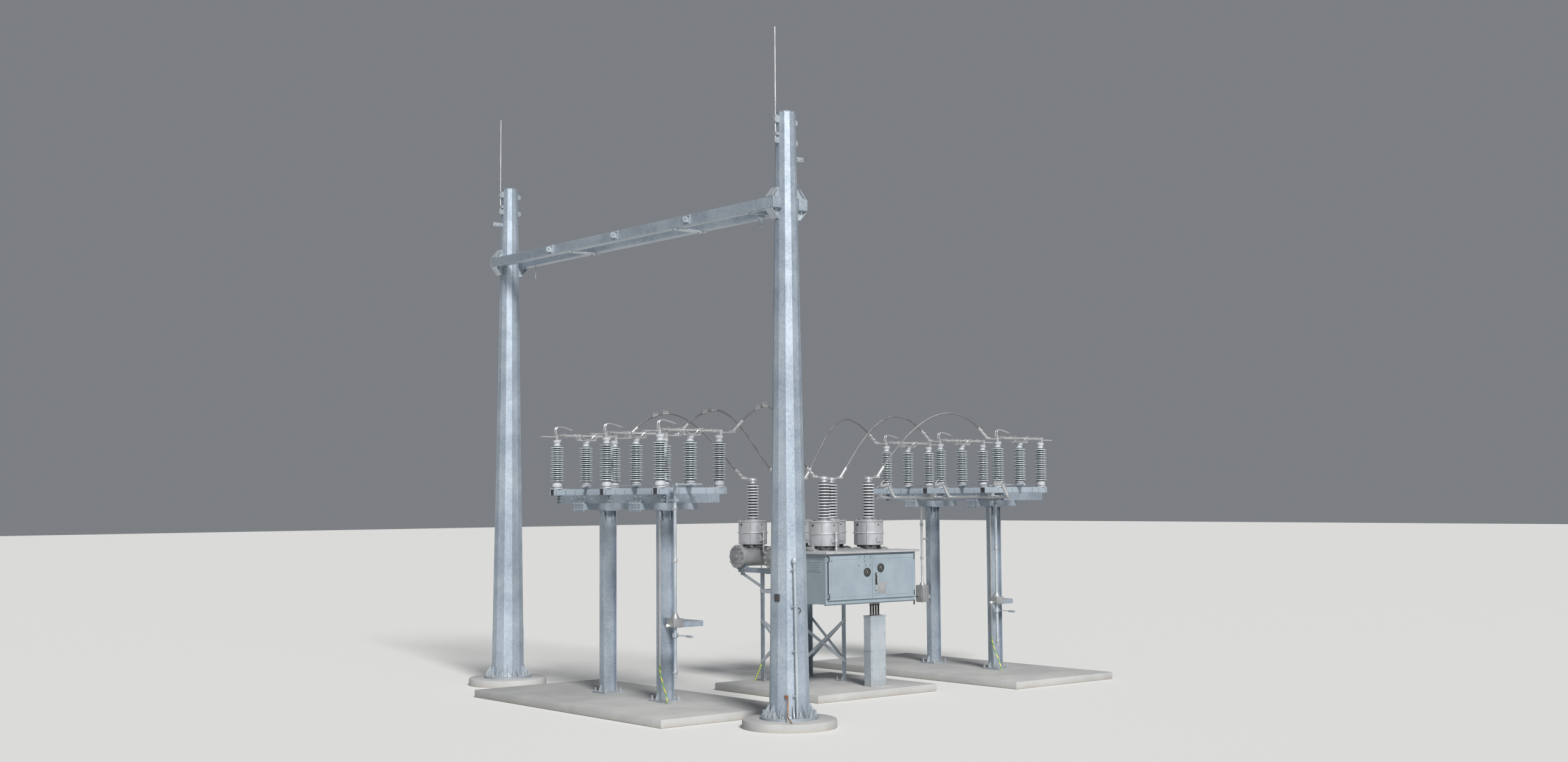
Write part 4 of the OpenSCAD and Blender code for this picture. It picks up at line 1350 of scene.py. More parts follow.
    def landings(self) -> None:
        """Dress the landing plates and rods, and bolt them on."""
        dress_nodes(Stock.new_zinc, "gantry_landing_plates")
        dress_nodes(Stock.bright_bar, "lightning_rods")
        work = Work()
        y = -self.beam_y - self.beam_w / 2 - 0.012
        for x in self.eyes_x:
            work.bolts(spots(about(x, 0.03), y, about(self.beam_z, 0.055)), Axis.MINUS_Y, 0.014, 0.008)
        y = -self.half(8.155) - 0.04
        for x in self.poles_x:
            for z in self.rod_clamps_z:
                work.box(about(x, 0.03), about(y, 0.016), about(z, 0.024), 0.004)
                work.bolts(spots(about(x, 0.02), y - 0.016, z), Axis.MINUS_Y, 0.008)
            tip = [(0, 0), (0.0098, 0), (0.0098, 0.03), (0.002, 0.083), (0, 0.084)]
            work.turned(tip, (x, y, self.rod_tip_z), sides=12)
            joint = [(0.0105, 0), (0.016, 0), (0.016, 0.05), (0.0105, 0.052)]
            work.turned(joint, (x, y, self.rod_joint_z), sides=16)
        work.piece("landing_bolts", Stock.bolt_zinc)

    def build(self) -> None:
        """Build the whole gantry."""
        self.poles()
        self.right_pole_gear()
        self.beams()
        self.brackets()
        self.landings()


# Insulators and disconnectors


@dataclass(frozen=True)
class Shedded:
    """Outline of a shedded porcelain.

    Attributes:
        base: height where the sheds start.
        length: length of the shedded body.
        count: how many sheds.
        core: radius of the body.
        rim: radius of the large sheds.
        step: how much smaller every second shed is.
        shed: a shed's outline, as shares of its reach and of the pitch, from its drip edge up.
    """

    base: float
    length: float
    count: int
    core: float
    rim: float
    step: float = 0.0
    shed: tuple[Span, ...] = ((0, -0.42), (0.1, -0.32), (0.72, -0.27), (0.86, -0.4), (0.94, -0.43),
                              (1, -0.36), (1, -0.06), (0.95, 0.02), (0.5, 0.14), (0.12, 0.3), (0, 0.46))

    def outline(self) -> Outline:
        """Half outline of the shedded body, with a drip edge and a rounded root on every shed.

        Returns:
            The (radius, height) pairs.
        """
        pitch = self.length / self.count
        points = [(0, self.base - 0.002), (self.core, self.base - 0.002)]
        for k in range(self.count):
            out = self.rim - k % 2 * self.step - self.core
            mid = self.base + (k + 0.5) * pitch
            points += [(self.core + share * out, mid + up * pitch) for share, up in self.shed]
        top = self.base + self.length
        points[-3:] = [(self.rim * 0.78, top - 0.2 * pitch), (self.core + 0.012, top + 0.008),
                       (self.core * 0.9, top + 0.02), (0, top + 0.022)]
        return points


@dataclass
class Disconnector:
    """One rotating-blade disconnector on its two columns.

    Attributes:
        side: its name, "line" or "bus".
        y: its middle along the bay.
        drive: place of its drive pipe from its middle.
        front: how much further the channels reach on the line side.
        pitch: distance between phases.
        post_pitch: distance between a phase's insulators.
        post_z: where the insulators stand.
        top_z: their tops.
        column_x: distance of a column from the middle.
        foot_z: top of the columns' base plates.
        head_z: underside of the columns' head plates.
        frame_y: distance of the frame's outer faces from the middle.
        frame_z: height of the middle of its beams.
        couplings_z: heights of the drive pipe's couplings.
        body: the insulators' porcelain.
    """

    side: str
    y: float
    drive: Span
    front: float = 0.0
    pitch: float = 1.4
    post_pitch: float = 0.54
    post_z: float = 3.2856
    top_z: float = 4.0556
    column_x: float = 0.765
    foot_z: float = 0.14
    head_z: float = 2.944
    frame_y: float = 0.485
    frame_z: float = 3.123
    couplings_z: tuple[float, ...] = (0.6, 1.42, 2.2, 2.96)
    body: Shedded = Shedded(0.118, 0.555, 17, 0.058, 0.109, 0.012)

    @property
    def xs(self) -> tuple[float, ...]:
        """Places of the three phases across the bay."""
        return (-self.pitch, 0, self.pitch)

    def metalwork(self, work: Work, x: float, y: float, lift: float = 0.0) -> None:
        """Add the bell base with its studs and the domed cap of one insulator.

        Args:
            work: the piece.
            x: its place across the bay.
            y: its place along the bay.
            lift: how far its foot stands above post_z.
        """
        foot = [(r, lift + z) for r, z in ((0, 0), (0.079, 0), (0.08, 0.002), (0.08, 0.01), (0.078, 0.012),
                                           (0.062, 0.014), (0.062, 0.026), (0.072, 0.03), (0.077, 0.037))]
        foot += [(0.078, 0.1), (0.074, 0.112), (0.064, 0.119), (0.05, 0.12), (0, 0.12)]
        work.turned(foot, (x, y, self.post_z))
        cap = [(0, 0.688), (0.05, 0.69), (0.052, 0.697), (0.046, 0.708), (0.046, 0.716), (0.06, 0.738),
               (0.0635, 0.748), (0.064, 0.756), (0.064, 0.767), (0.061, 0.77), (0, 0.77)]
        work.turned(cap, (x, y, self.post_z))
        work.bolts(circle((x, y, self.post_z + lift + 0.012), 0.071, 4, start=45), Axis.UP, 0.012, 0.006)
        work.bolts(circle((x, y, self.post_z + 0.741), 0.0575, 4, start=45), Axis.DOWN, 0.008)

    def fixed_posts(self) -> None:
        """Replace the six fixed insulators by glazed bodies and their metalwork."""
        glaze, metal = Work(), Work()
        for x, y in product(self.xs, about(self.y, self.post_pitch)):
            glaze.turned(self.body.outline(), (x, y, self.post_z), sides=28)
            self.metalwork(metal, x, y)
        glaze.piece(f"{self.side}_post_porcelains", Stock.porcelain, f"{self.side}_fixed_posts", crease=50)
        metal.piece(f"{self.side}_post_metalwork", Stock.cap_paint, f"{self.side}_fixed_posts")

    def rotors(self) -> None:
        """Replace the three turning insulators, and give each its disc, crank and pin."""
        for x, name in zip(self.xs, "abc"):
            node = f"{self.side}_rotor_{name}"
            glaze, metal, crank = Work(), Work(), Work()
            glaze.turned(self.body.outline(), (x, self.y, self.post_z), sides=28)
            glaze.piece(f"{node}_porcelain", Stock.porcelain, node, body=node, crease=50)
            self.metalwork(metal, x, self.y, 0.0443)
            metal.piece(f"{node}_metalwork", Stock.cap_paint, node, body=node)
            self.crank(crank, (x, self.y, self.post_z + 0.0243))
            crank.piece(f"{node}_crank", Stock.new_zinc, node, body=node)

    def crank(self, work: Work, at: Point) -> None:
        """Add a disc with a forged crank arm and its pin.

        Args:
            work: the piece.
            at: the axis at the arm's underside.
        """
        work.turned(collar(0, 0.085, 0.02, (0.002, 0.002)), at, sides=36)
        arm = [(0, -0.03), (0.12, -0.024), (0.25, -0.022), *nose(0.25, 0.022, 0.022),
               (0.25, 0.022), (0.12, 0.024), (0, 0.03)]
        turn = placed(at, (-30, "Z"))
        work.cut_plate(arm, 0.012, turn, 0.0015)
        pin = turn @ Vector((0.25, 0, 0))
        work.turned([(0, 0), (0.0098, 0), (0.0098, 0.033), (0.008, 0.036), (0, 0.036)], pin, sides=16)
        work.rod((pin.x, pin.y, pin.z + 0.0285), (pin.x, pin.y, pin.z + 0.031), 0.0155, 14)

    def terminals(self) -> None:
        """Dress the terminals and add bolts, contact fingers and arcing horns."""
        dress_nodes(Stock.bright_bar, f"{self.side}_terminals")
        bolts, horns = Work(), Work()
        up = self.top_z + 0.05
        for x, s in product(self.xs, SIDES):
            y = self.y + s * self.post_pitch
            foot = spots(about(x, 0.02), (y - s * 0.045, y - s * 0.015), self.top_z + 0.012)
            bolts.bolts(foot, Axis.UP, 0.01, 0.004)
            face = spots(about(x, 0.018), y + s * 0.041, (up - 0.026, up + 0.048))
            bolts.bolts(face, Axis.along_y(s), 0.01, 0.003)
            for z, t in product((up + 0.005, up + 0.037), SIDES):
                horns.box((x + t * 0.0305, x + t * 0.038), (y - s * 0.088 - 0.02, y - s * 0.04 + 0.02),
                          (z, z + 0.008), 0.001)
        for x in self.xs:
            self.horn(horns, x)
        bolts.piece(f"{self.side}_terminal_bolts", Stock.bolt_zinc)
        horns.piece(f"{self.side}_arcing_horns", Stock.bright_bar)

    def horn(self, work: Work, x: float) -> None:
        """Add the hooked horn on the line-side post of a phase.

        Args:
            work: the piece.
            x: the phase's place.
        """
        y, z = self.y - self.post_pitch - 0.02, self.top_z + 0.115
        route = [(0, -0.01, -0.012), (0, -0.012, 0.04), (0, 0, 0.085), (0, 0.05, 0.105), (0, 0.13, 0.095),
                 (0, 0.22, 0.075), (0, 0.3, 0.05)]
        for at in about(x, 0.022):
            work.bent(route, 0.005, (at, y, z))
        work.box(about(x, 0.03), (y - 0.022, y + 0.002), (z - 0.014, z + 0.012), 0.003)
        work.box(about(x, 0.028), (y + 0.04, y + 0.054), (z + 0.096, z + 0.107), 0.002)

    def blades(self) -> None:
        """Dress the blades and add their bent cradle bars, clamps and bolts."""
        z = self.top_z + 0.075
        half = [(0, -0.2, 0.026), (0, -0.15, 0.03), (0, -0.11, 0.004), (0, -0.07, -0.045)]
        cradle = [*half, (0, 0, -0.058), *((0, -y, up) for _, y, up in reversed(half))]
        for x, name in zip(self.xs, "abc"):
            node = f"{self.side}_blade_{name}"
            dress_nodes(Stock.bright_bar, node)
            work = Work()
            for at in about(x, 0.056):
                work.bent(cradle, 0.006, (at, self.y, z))
            for y in (*about(self.y, 0.2), *about(self.y, 0.4)):
                for low in (z + 0.017, z - 0.024):
                    work.box(about(x, 0.06), about(y, 0.014), (low, low + 0.007), 0.002)
                work.bolt((x, y, z + 0.024), Axis.UP, 0.01, 0.003)
            work.bolts(spots(about(x, 0.042), about(self.y, 0.12), self.top_z + 0.01), Axis.UP, 0.012, 0.004)
            work.bolts(spots(about(x, 0.016), about(self.y, 0.425), z + 0.006), Axis.UP, 0.008)
            work.piece(f"{node}_clamps", Stock.bright_bar, body=f"{self.side}_rotor_{name}")

    def base(self) -> None:
        """Dress the frame and its tie rod, bolt the frame together and set black plates in the channels' open
        ends that paint the shade inside them.
        """
        dress_nodes(Stock.frame_zinc, f"{self.side}_frame", f"{self.side}_tie_rod")
        work, shade_plates = Work(), Work()
        top = self.post_z
        rows = [y for out in (0.25, 0.42, 0.6) for y in about(self.y, out)]
        for x, s in product(self.xs, SIDES):
            for out in (0.40, 0.62):
                if out < 0.6 or s > 0 or not self.front:
                    work.bolts(spots(about(x, 0.043), self.y + s * out, top), Axis.UP, 0.012, 0.006)
            work.bolts(spots(x + s * 0.06, rows, (top - 0.07, top - 0.03)), Axis.along_x(s), 0.012)
            end = spots(about(x, 0.035), self.y + s * self.frame_y, about(top - 0.16, 0.025))
            work.bolts(end, Axis.along_y(s), 0.014)
        for x in about(0, self.column_x):
            for s in SIDES:
                beam = spots(about(x, 0.06), self.y + s * self.frame_y, about(self.frame_z, 0.03))
                work.bolts(beam, Axis.along_y(s), 0.016)
            work.bolts(spots(about(x, 0.28), self.y - self.frame_y, self.frame_z), Axis.MINUS_Y, 0.014)
            work.bolts(spots(about(x, 0.09), about(self.y, 0.09), self.head_z), Axis.DOWN, 0.016, 0.02)
        work.piece(f"{self.side}_frame_bolts", Stock.bolt_zinc)
        # Painted shade: black plates just inside the channels' open ends stand for the shade in them.
        for x, y in product(self.xs, (self.y - 0.629 - self.front, self.y + 0.621)):
            shade_plates.box(about(x, 0.046), (y, y + 0.008), (top - 0.096, top - 0.012), 0.003)
        shade_plates.piece(f"{self.side}_channel_shade_plates", Stock.plastic)

    def columns(self) -> None:
        """Bolt the columns down, close the cross arms and stiffen the column heads."""
        work = Work()
        gusset = [(0, 0), (0.055, 0), (0.055, 0.02), (0.012, 0.11), (0, 0.11)]
        for x in about(0, self.column_x):
            work.bolts(spots(about(x, 0.14), about(self.y, 0.14), self.foot_z), Axis.UP, 0.024, 0.04)
            work.bolts(spots((*about(x, 0.12), *about(x, 0.04)), self.y - 0.55, about(3.01, 0.045)),
                       Axis.MINUS_Y, 0.014)
            work.box(about(x, 0.1), (self.y + 0.54, self.y + 0.546), (2.962, 3.058), 0.002)
            for s in SIDES:
                turn = placed((x - 0.004, self.y + s * 0.12, self.foot_z), (90 * s, "Z"), (90, "X"))
                work.cut_plate(gusset, 0.008, turn, 0.001)
                stiffener = (self.head_z - 0.144, self.head_z)
                work.box(about(x, 0.058), about(self.y + s * 0.06, 0.004), stiffener, 0.001)
        work.piece(f"{self.side}_column_fittings", Stock.new_zinc)

    def drive_gear(self) -> None:
        """Dress the drive and add its gearbox, couplings, knob and grip."""
        dress_nodes(Stock.new_zinc, f"{self.side}_drive_pipe")
        turning, grip, box, knob = (Work() for _ in range(4))
        x, y = self.drive[0], self.y + self.drive[1]
        for z in self.couplings_z:
            turning.turned(collar(0.0242, 0.034, 0.053, (0.001, 0.003)), (x, y, z), sides=20)
            turning.bolt((x, y - 0.034, z + 0.026), Axis.MINUS_Y, 0.01)
        turning.turned([(0, -0.012), (0.021, -0.012), (0.024, 0), (0, 0)], (x, y, 0.56), sides=20)
        turning.piece(f"{self.side}_drive_couplings", Stock.bolt_zinc, body=f"{self.side}_drive")
        grip.rod((x + 0.27, y, 1.16), (x + 0.425, y, 1.16), 0.017, edge=0.004)
        grip.piece(f"{self.side}_drive_grip", Stock.new_zinc, body=f"{self.side}_drive")
        box.box((x - 0.095, x + 0.085), (y - 0.085, y + 0.09), (1.275, 1.40), 0.008, 2)
        neck = [(0.0265, 0), (0.062, 0), (0.06, 0.012), (0.036, 0.062), (0.0265, 0.064)]
        box.turned(neck, (x, y, 1.398), sides=24)
        box.bolts(spots(about(x, 0.06), y - 0.085, about(1.337, 0.04)), Axis.MINUS_Y, 0.01)
        box.piece(f"{self.side}_drive_gearbox", Stock.castings)
        ball = [(0, 0), (0.012, 0), (0.012, 0.02), (0.02, 0.026), (0.026, 0.04), (0.02, 0.056), (0, 0.06)]
        knob.turned(ball, (x - 0.02, y - 0.085, 1.3), Axis.MINUS_Y, sides=20)
        knob.piece(f"{self.side}_drive_knob", Stock.ivory)

    def earth_lead(self) -> None:
        """Lead the frame's earth down a column and into the pad."""
        x, y = self.column_x, self.y - 0.12
        strip, lead = Work(), Work()
        strip.box((x + 0.03, x + 0.055), (y - 0.014, y), (0.6, 2.94), 0.001)
        strip.bolts(spots(x + 0.043, y - 0.014, (0.66, 1.1, 1.54, 1.98, 2.42, 2.86)), Axis.MINUS_Y, 0.01)
        strip.piece(f"{self.side}_earth_strip", Stock.bright_bar)
        lead.bent([(0.045, -0.014, 0.66), (0.07, -0.03, 0.6), (0.12, -0.05, 0.5), (0.22, -0.06, 0.34),
                   (0.3, -0.07, 0.2), (0.33, -0.07, 0.1)], 0.011, (x, y, 0))
        lead.piece(f"{self.side}_earth_lead", Stock.sleeve)

    def build(self) -> None:
        """Build the whole disconnector."""
        self.fixed_posts()
        self.rotors()
        self.terminals()
        self.blades()
        self.base()
        self.columns()
        self.drive_gear()
        self.earth_lead()


@dataclass
class EarthingSwitch:
    """Shaft with bent arms under the bus disconnector's long channel ends.

    Attributes:
        shaft_y: the shaft's place along the bay.
        shaft_z: its height.
        arms_x: places of its arms.
        bearings_x: places of its bearings.
        pipe: place of its drive pipe.
    """

    shaft_y: float = 6.32
    shaft_z: float = 3.1203
    arms_x: tuple[float, ...] = (-1.0, 0.4, 1.8)
    bearings_x: tuple[float, ...] = (-1.4, 0.0, 1.4)
    pipe: Span = (-0.765, 6.77)

    def arm(self, work: Work, tips: Work, x: float) -> None:
        """Add the collars, knee bolts, braid and contact tip of an arm.

        Args:
            work: the piece with the fittings.
            tips: the piece with the tips.
            x: the arm's place.
        """
        y, z = self.shaft_y, self.shaft_z
        for at in (x - 0.048, x + 0.036):
            work.turned(collar(0.0252, 0.038, 0.012, (0.002, 0.003)), (at, y, z), Axis.PLUS_X, 24)
        knee = Vector((x, y - 0.15, z + 0.24))
        tip = Vector((x, y - 0.35, z + 0.2))
        way = (tip - knee).normalized()
        tips.rod(tip - way * 0.03, tip + way * 0.012, 0.0315, 20, edge=0.004)
        tips.rod(tip + way * 0.01, tip + way * 0.1, 0.012, 12, edge=0.003)
        for s in SIDES:
            work.bolt((x + s * 0.033, knee.y, knee.z), Axis.along_x(s), 0.018)
        work.bent([(0, -0.02, 0.045), (0, -0.05, 0.17), (0, -0.09, 0.29), (0, -0.17, 0.335), (0, -0.27, 0.31),
                   (0, -0.33, 0.235)], 0.006, (x, y, z))

    def build(self) -> None:
        """Dress the switch and add its arms' and bearings' fittings, drive box and crank."""
        dress_nodes(Stock.bright_bar, "bus_earth_switch")
        work, tips, box, grip = (Work() for _ in range(4))
        y, z = self.shaft_y, self.shaft_z
        for x in self.arms_x:
            self.arm(work, tips, x)
        for x in self.bearings_x:
            work.bolts(spots(about(x, 0.042), y - 0.035, (z - 0.02, z + 0.03)), Axis.MINUS_Y, 0.012)
            for at in (x - 0.068, x + 0.06):
                work.turned(collar(0.0252, 0.033, 0.008), (at, y, z), Axis.PLUS_X, 20)
        x, y = self.pipe
        neck = [(0.0215, 0), (0.05, 0), (0.048, 0.012), (0.03, 0.05), (0.0215, 0.052)]
        work.turned(neck, (x, y, 1.53), sides=24)
        for z in (2.0, 2.6):
            work.turned(collar(0.0212, 0.031, 0.05, (0.001, 0.004)), (x, y, z), sides=20)
        work.box(about(x, 0.02), (y - 0.004, y + 0.16), (2.35, 2.38), 0.002)
        work.bolts(spots(about(x, 0.065), y - 0.075, about(1.38, 0.12)), Axis.MINUS_Y, 0.01)
        work.piece("earth_switch_fittings", Stock.bolt_zinc)
        tips.piece("earth_switch_tips", Stock.castings)
        box.box(about(x, 0.093), about(y, 0.078), (1.227, 1.533), 0.01, 2)
        box.box(about(x, 0.06), (y - 0.083, y - 0.07), (1.29, 1.47), 0.003)
        box.piece("earth_switch_gearbox", Stock.castings)
        grip.rod((x - 0.02, y - 0.09, 1.33), (x - 0.02, y - 0.2, 1.33), 0.011, 12, edge=0.002)
        grip.rod((x - 0.02, y - 0.19, 1.33), (x - 0.02, y - 0.19, 1.19), 0.014, 12, edge=0.003)
        grip.piece("earth_switch_crank", Stock.plastic)


# Breaker and cabinet


@dataclass
class Breaker:
    """Dead-tank breaker on its stand.

    Attributes:
        y: its middle along the bay.
        pitch: distance between its tanks.
        tank_z: height of the tanks' middle.
        bushing_half: half the distance between a tank's bushings.
        drum_z: underside of the drums.
        drum_top: their tops.
        stand_y: the stand's middle along the bay.
        leg: half distances between the legs' heels.
        rail_top: top of the rails.
        anchor_z: top of the legs' foot plates.
        braces_z: heights of the bolts of the crossed braces.
        line_z: height of the gas line.
        rod_z: height of the drive rod.
        body: the bushings' porcelain.
    """

    y: float = 3.45
    pitch: float = 0.92
    tank_z: float = 2.15
    bushing_half: float = 0.48
    drum_z: float = 2.35
    drum_top: float = 2.75
    stand_y: float = 3.29
    leg: Span = (0.46, 0.53)
    rail_top: float = 1.97
    anchor_z: float = 0.136
    braces_z: Span = (0.45, 1.1)
    line_z: float = 1.86
    rod_z: float = 1.94
    body: Shedded = Shedded(0.036, 0.575, 12, 0.07, 0.105)

    @property
    def xs(self) -> tuple[float, ...]:
        """Places of the three tanks across the bay."""
        return (-self.pitch, 0, self.pitch)

    def tanks(self) -> None:
        """Replace the tanks by cast ones with bolted covers, ribs and a filling valve."""
        work, bolts = Work(), Work()
        z = self.tank_z
        shell = [(0, -0.832), (0.1, -0.836), (0.112, -0.833), (0.12, -0.826), (0.188, -0.826),
                 (0.195, -0.822), (0.195, -0.812), (0.1925, -0.8105), (0.1925, -0.808), (0.195, -0.8065),
                 (0.195, -0.788), (0.191, -0.784), (0.172, -0.784), (0.163, -0.778), (0.16, -0.768),
                 (0.16, 0.80), (0.164, 0.803), (0.164, 0.818), (0.16, 0.822), (0.159, 0.835),
                 (0.152, 0.853), (0.139, 0.867), (0.118, 0.876), (0.09, 0.88), (0, 0.88)]
        valve = [(0, 0), (0.045, 0), (0.045, 0.012), (0.028, 0.016), (0.028, 0.03), (0, 0.032)]
        rib = [(0.158, -0.016), (0.167, -0.012), (0.167, 0.012), (0.158, 0.016)]
        neck = [(0.13, 0), (0.15, 0.004), (0.15, 0.02), (0.13, 0.024)]
        for x in self.xs:
            work.turned(shell, (x, self.y, z), Axis.PLUS_Y, 56)
            bolts.bolts(circle((x, self.y - 0.826, z), 0.172, 12, Axis.MINUS_Y), Axis.MINUS_Y, 0.02, 0.008)
            bolts.bolts(circle((x, self.y - 0.784, z), 0.178, 12, Axis.PLUS_Y), Axis.PLUS_Y, 0.012, 0.004)
            work.turned(valve, (x, self.y - 0.834, z), Axis.MINUS_Y, 24)
            for s in SIDES:
                work.turned(rib, (x, self.y + s * 0.2, z), Axis.PLUS_Y, 48)
                work.box(about(x, 0.012), about(self.y + s * 0.7, 0.04), (z + 0.15, z + 0.215), 0.006, 2)
                work.turned(neck, (x, self.y + s * self.bushing_half, z + 0.128), sides=40)
        work.piece("tank_castings", Stock.castings, "breaker_tanks")
        bolts.piece("tank_bolts", Stock.bolt_zinc)

    def conduit(self, work: Work, x: float, y: float) -> None:
        """Add the sealing fitting and bent pipe that lead a drum's wires down.

        Args:
            work: the piece.
            x: the drum's place across the bay.
            y: its place along the bay.
        """
        seal = [(0, 0), (0.026, 0), (0.026, 0.03), (0.017, 0.034), (0.017, 0.11), (0.028, 0.114),
                (0.028, 0.15), (0.017, 0.154), (0.017, 0.24), (0.025, 0.244), (0.027, 0.275), (0, 0.29)]
        work.turned(seal, (x + 0.29, y, 2.3), sides=18)
        work.rod((x + 0.24, y, 2.43), (x + 0.29, y, 2.43), 0.015, 14)
        work.bent([(0.29, 0, 2.32), (0.29, 0, 2.25), (0.285, 0.02, 2.2), (0.27, 0.07, 2.165),
                   (0.25, 0.14, 2.15)], 0.015, (x, y, 0))

    def drums(self) -> None:
        """Replace the transformer drums by sheet ones with bands, a lid, lugs and rubber feet."""
        work, bolts, feet, bands, hole_shades, fittings = (Work() for _ in range(6))
        low, top = self.drum_z, self.drum_top
        sheet = [(0, 0.10), (0.13, 0.10), (0.13, 0.192), (0.136, 0.2), (0.232, 0.2), (0.238, 0.203),
                 (0.24, 0.209), (0.24, 0.583), (0.2485, 0.586), (0.25, 0.589), (0.25, 0.597), (0.247, 0.6),
                 (0.15, 0.6), (0.146, 0.604), (0.146, 0.612), (0.14, 0.616), (0, 0.616)]
        foot = [(0, 0), (0.022, 0), (0.026, 0.006), (0.026, 0.03), (0.02, 0.036), (0, 0.036)]
        for x, s in product(self.xs, SIDES):
            y = self.y + s * self.bushing_half
            work.turned(sheet, (x, y, self.tank_z), sides=56)
            bolts.bolts(circle((x, y, top), 0.215, 8, start=22), Axis.UP, 0.012, 0.004)
            for at in circle((x, y, low - 0.034), 0.175, 6, start=30):
                feet.turned(foot, at, sides=12)
            feet.turned(collar(0.129, 0.2, 0.012), (x, y, low - 0.013), sides=40)
            work.box((x + 0.232, x + 0.262), about(y, 0.05), (low + 0.05, low + 0.14), 0.004)
            bolts.bolts(spots(x + 0.262, about(y, 0.036), about(low + 0.095, 0.032)), Axis.PLUS_X, 0.006)
            for up in (0.2, 0.41):
                work.box((x - 0.253, x - 0.236), about(y, 0.02), about(low + up, 0.012), 0.003)
            for start, end in ((0.388, 0.408), (0.58, 0.602)):
                band = collar(0.2385, 0.256, end, (0.004, 0.004), start)
                bands.turned(band, (x, y, self.tank_z), sides=56)
            bands.box((x + 0.16, x + 0.172), (y - 0.19, y - 0.174), (low, top), 0.002)
            # Painted shade: short black discs on the sheet stand for the dark inside of its holes.
            hole_shades.rod((x, y - 0.236, top - 0.07), (x, y - 0.244, top - 0.07), 0.02, 20)
            hole_shades.rod((x + 0.236, y, top - 0.07), (x + 0.243, y, top - 0.07), 0.012, 20)
            if s < 0:
                self.conduit(fittings, x, y)
        fittings.piece("drum_conduit_fittings", Stock.bright_bar)
        work.piece("drum_housings", Stock.drum_sheet, "breaker_drums")
        bands.piece("drum_bands", Stock.bright_bar)
        hole_shades.piece("drum_hole_shades", Stock.plastic)
        bolts.piece("drum_bolts", Stock.bolt_zinc)
        feet.piece("drum_feet", Stock.rubber)

    def bushings(self) -> None:
        """Replace the bushings by glazed bodies, cast feet and caps, and bolt their bars."""
        glaze, metal = Work(), Work()
        foot = [(0, 0), (0.116, 0), (0.118, 0.002), (0.118, 0.012), (0.115, 0.015), (0.094, 0.018),
                (0.086, 0.024), (0.084, 0.04), (0.07, 0.043), (0, 0.043)]
        cap = [(0, 0.615), (0.066, 0.62), (0.072, 0.628), (0.06, 0.636), (0.058, 0.65), (0.07, 0.662),
               (0.078, 0.668), (0.08, 0.674), (0.08, 0.688), (0.076, 0.695), (0, 0.695)]
        for x, s in product(self.xs, SIDES):
            y, z = self.y + s * self.bushing_half, self.drum_top
            glaze.turned(self.body.outline(), (x, y, z), sides=28)
            metal.turned(foot, (x, y, z), sides=36)
            metal.turned(cap, (x, y, z))
            metal.bolts(circle((x, y, z + 0.015), 0.104, 8, start=22), Axis.UP, 0.012, 0.003)
            metal.bolts(spots(about(x, 0.018), (y - s * 0.02, y + s * 0.025), 3.459), Axis.UP, 0.01, 0.004)
        glaze.piece("bushing_porcelains", Stock.bushing_glaze, "breaker_bushings", crease=50)
        metal.piece("bushing_metalwork", Stock.drum_sheet, "breaker_bushings")
        dress_nodes(Stock.bright_bar, "breaker_terminals")

    def stand_bolts(self) -> None:
        """Bolt the stand down and together."""
        work = Work()
        for sx, sy in product(SIDES, SIDES):
            x, y = sx * self.leg[0], self.stand_y + sy * self.leg[1]
            anchors = ((-0.105, -0.105), (-0.105, 0.012), (0.012, -0.105))
            work.bolts([(x + sx * a, y + sy * b, self.anchor_z) for a, b in anchors], Axis.UP, 0.02, 0.03)
            out = Axis.along_y(sy)
            work.bolts(spots(x - sx * 0.03, y + sy * 0.0063, (1.575, 1.605, 1.67)), out, 0.014, 0.003)
            work.bolts(spots(x - sx * 0.03, y + sy * 0.013, self.braces_z), out, 0.014, 0.003)
            side = spots(x + sx * 0.0063, y - sy * 0.03, (*self.braces_z, 1.59))
            work.bolts(side, Axis.along_x(sx), 0.014, 0.003)
            work.bolts(spots(about(sx * 0.93, 0.03), y + sy * 0.005, 1.86), out, 0.014, 0.003)
        for x, sy in product(self.xs, SIDES):
            y, out = self.stand_y + sy * self.leg[1], Axis.along_y(sy)
            work.bolts(spots(about(x, 0.095), y + sy * 0.036, self.rail_top - 0.02), out, 0.016, 0.003)
            work.bolts(spots(about(x, 0.04), y + sy * 0.035, 1.93), out, 0.014)
        work.piece("stand_bolts", Stock.bolt_zinc)

    def lines(self) -> None:
        """Lay the gas and drive lines under the tanks and the stand's earth lead."""
        pipes, lead = Work(), Work()
        y, z = self.y - 0.3, self.line_z
        branch = [(0, 0, 0.132), (0, 0, 0.07), (0, 0, 0.02), (0.05, 0, 0), (0.16, 0, 0)]
        for x in self.xs:
            pipes.bent(branch, 0.008, (x, y, z))
        pipes.rod((-0.8, y, z), (1.14, y, z), 0.008, 12)
        for x in (-0.76, 0.16, 1.08):
            pipes.turned(collar(0.0085, 0.014, 0.03), (x, y, z), Axis.PLUS_X, 12)
        y = self.y - 0.02
        pipes.rod((0, y, 2.02), (0, y, 1.93), 0.035, 20, edge=0.004)
        pipes.rod((-1.0, y, self.rod_z), (1.14, y, self.rod_z), 0.019)
        pipes.piece("gas_and_drive_lines", Stock.new_zinc)
        lead.bent([(0.04, -0.012, 0.4), (0.03, -0.04, 0.34), (0, -0.07, 0.24), (-0.03, -0.09, 0.16),
                   (-0.06, -0.1, 0.1)], 0.01, (-self.leg[0], self.stand_y - self.leg[1], 0))
        lead.piece("stand_earth_lead", Stock.sleeve)

    def build(self) -> None:
        """Build the whole breaker and dress its stand."""
        self.tanks()
        self.drums()
        self.bushings()
        dress_nodes(Stock.frame_zinc, "breaker_legs", "breaker_rails")
        dress_nodes(Stock.new_zinc, "breaker_braces")
        self.stand_bolts()
        self.lines()


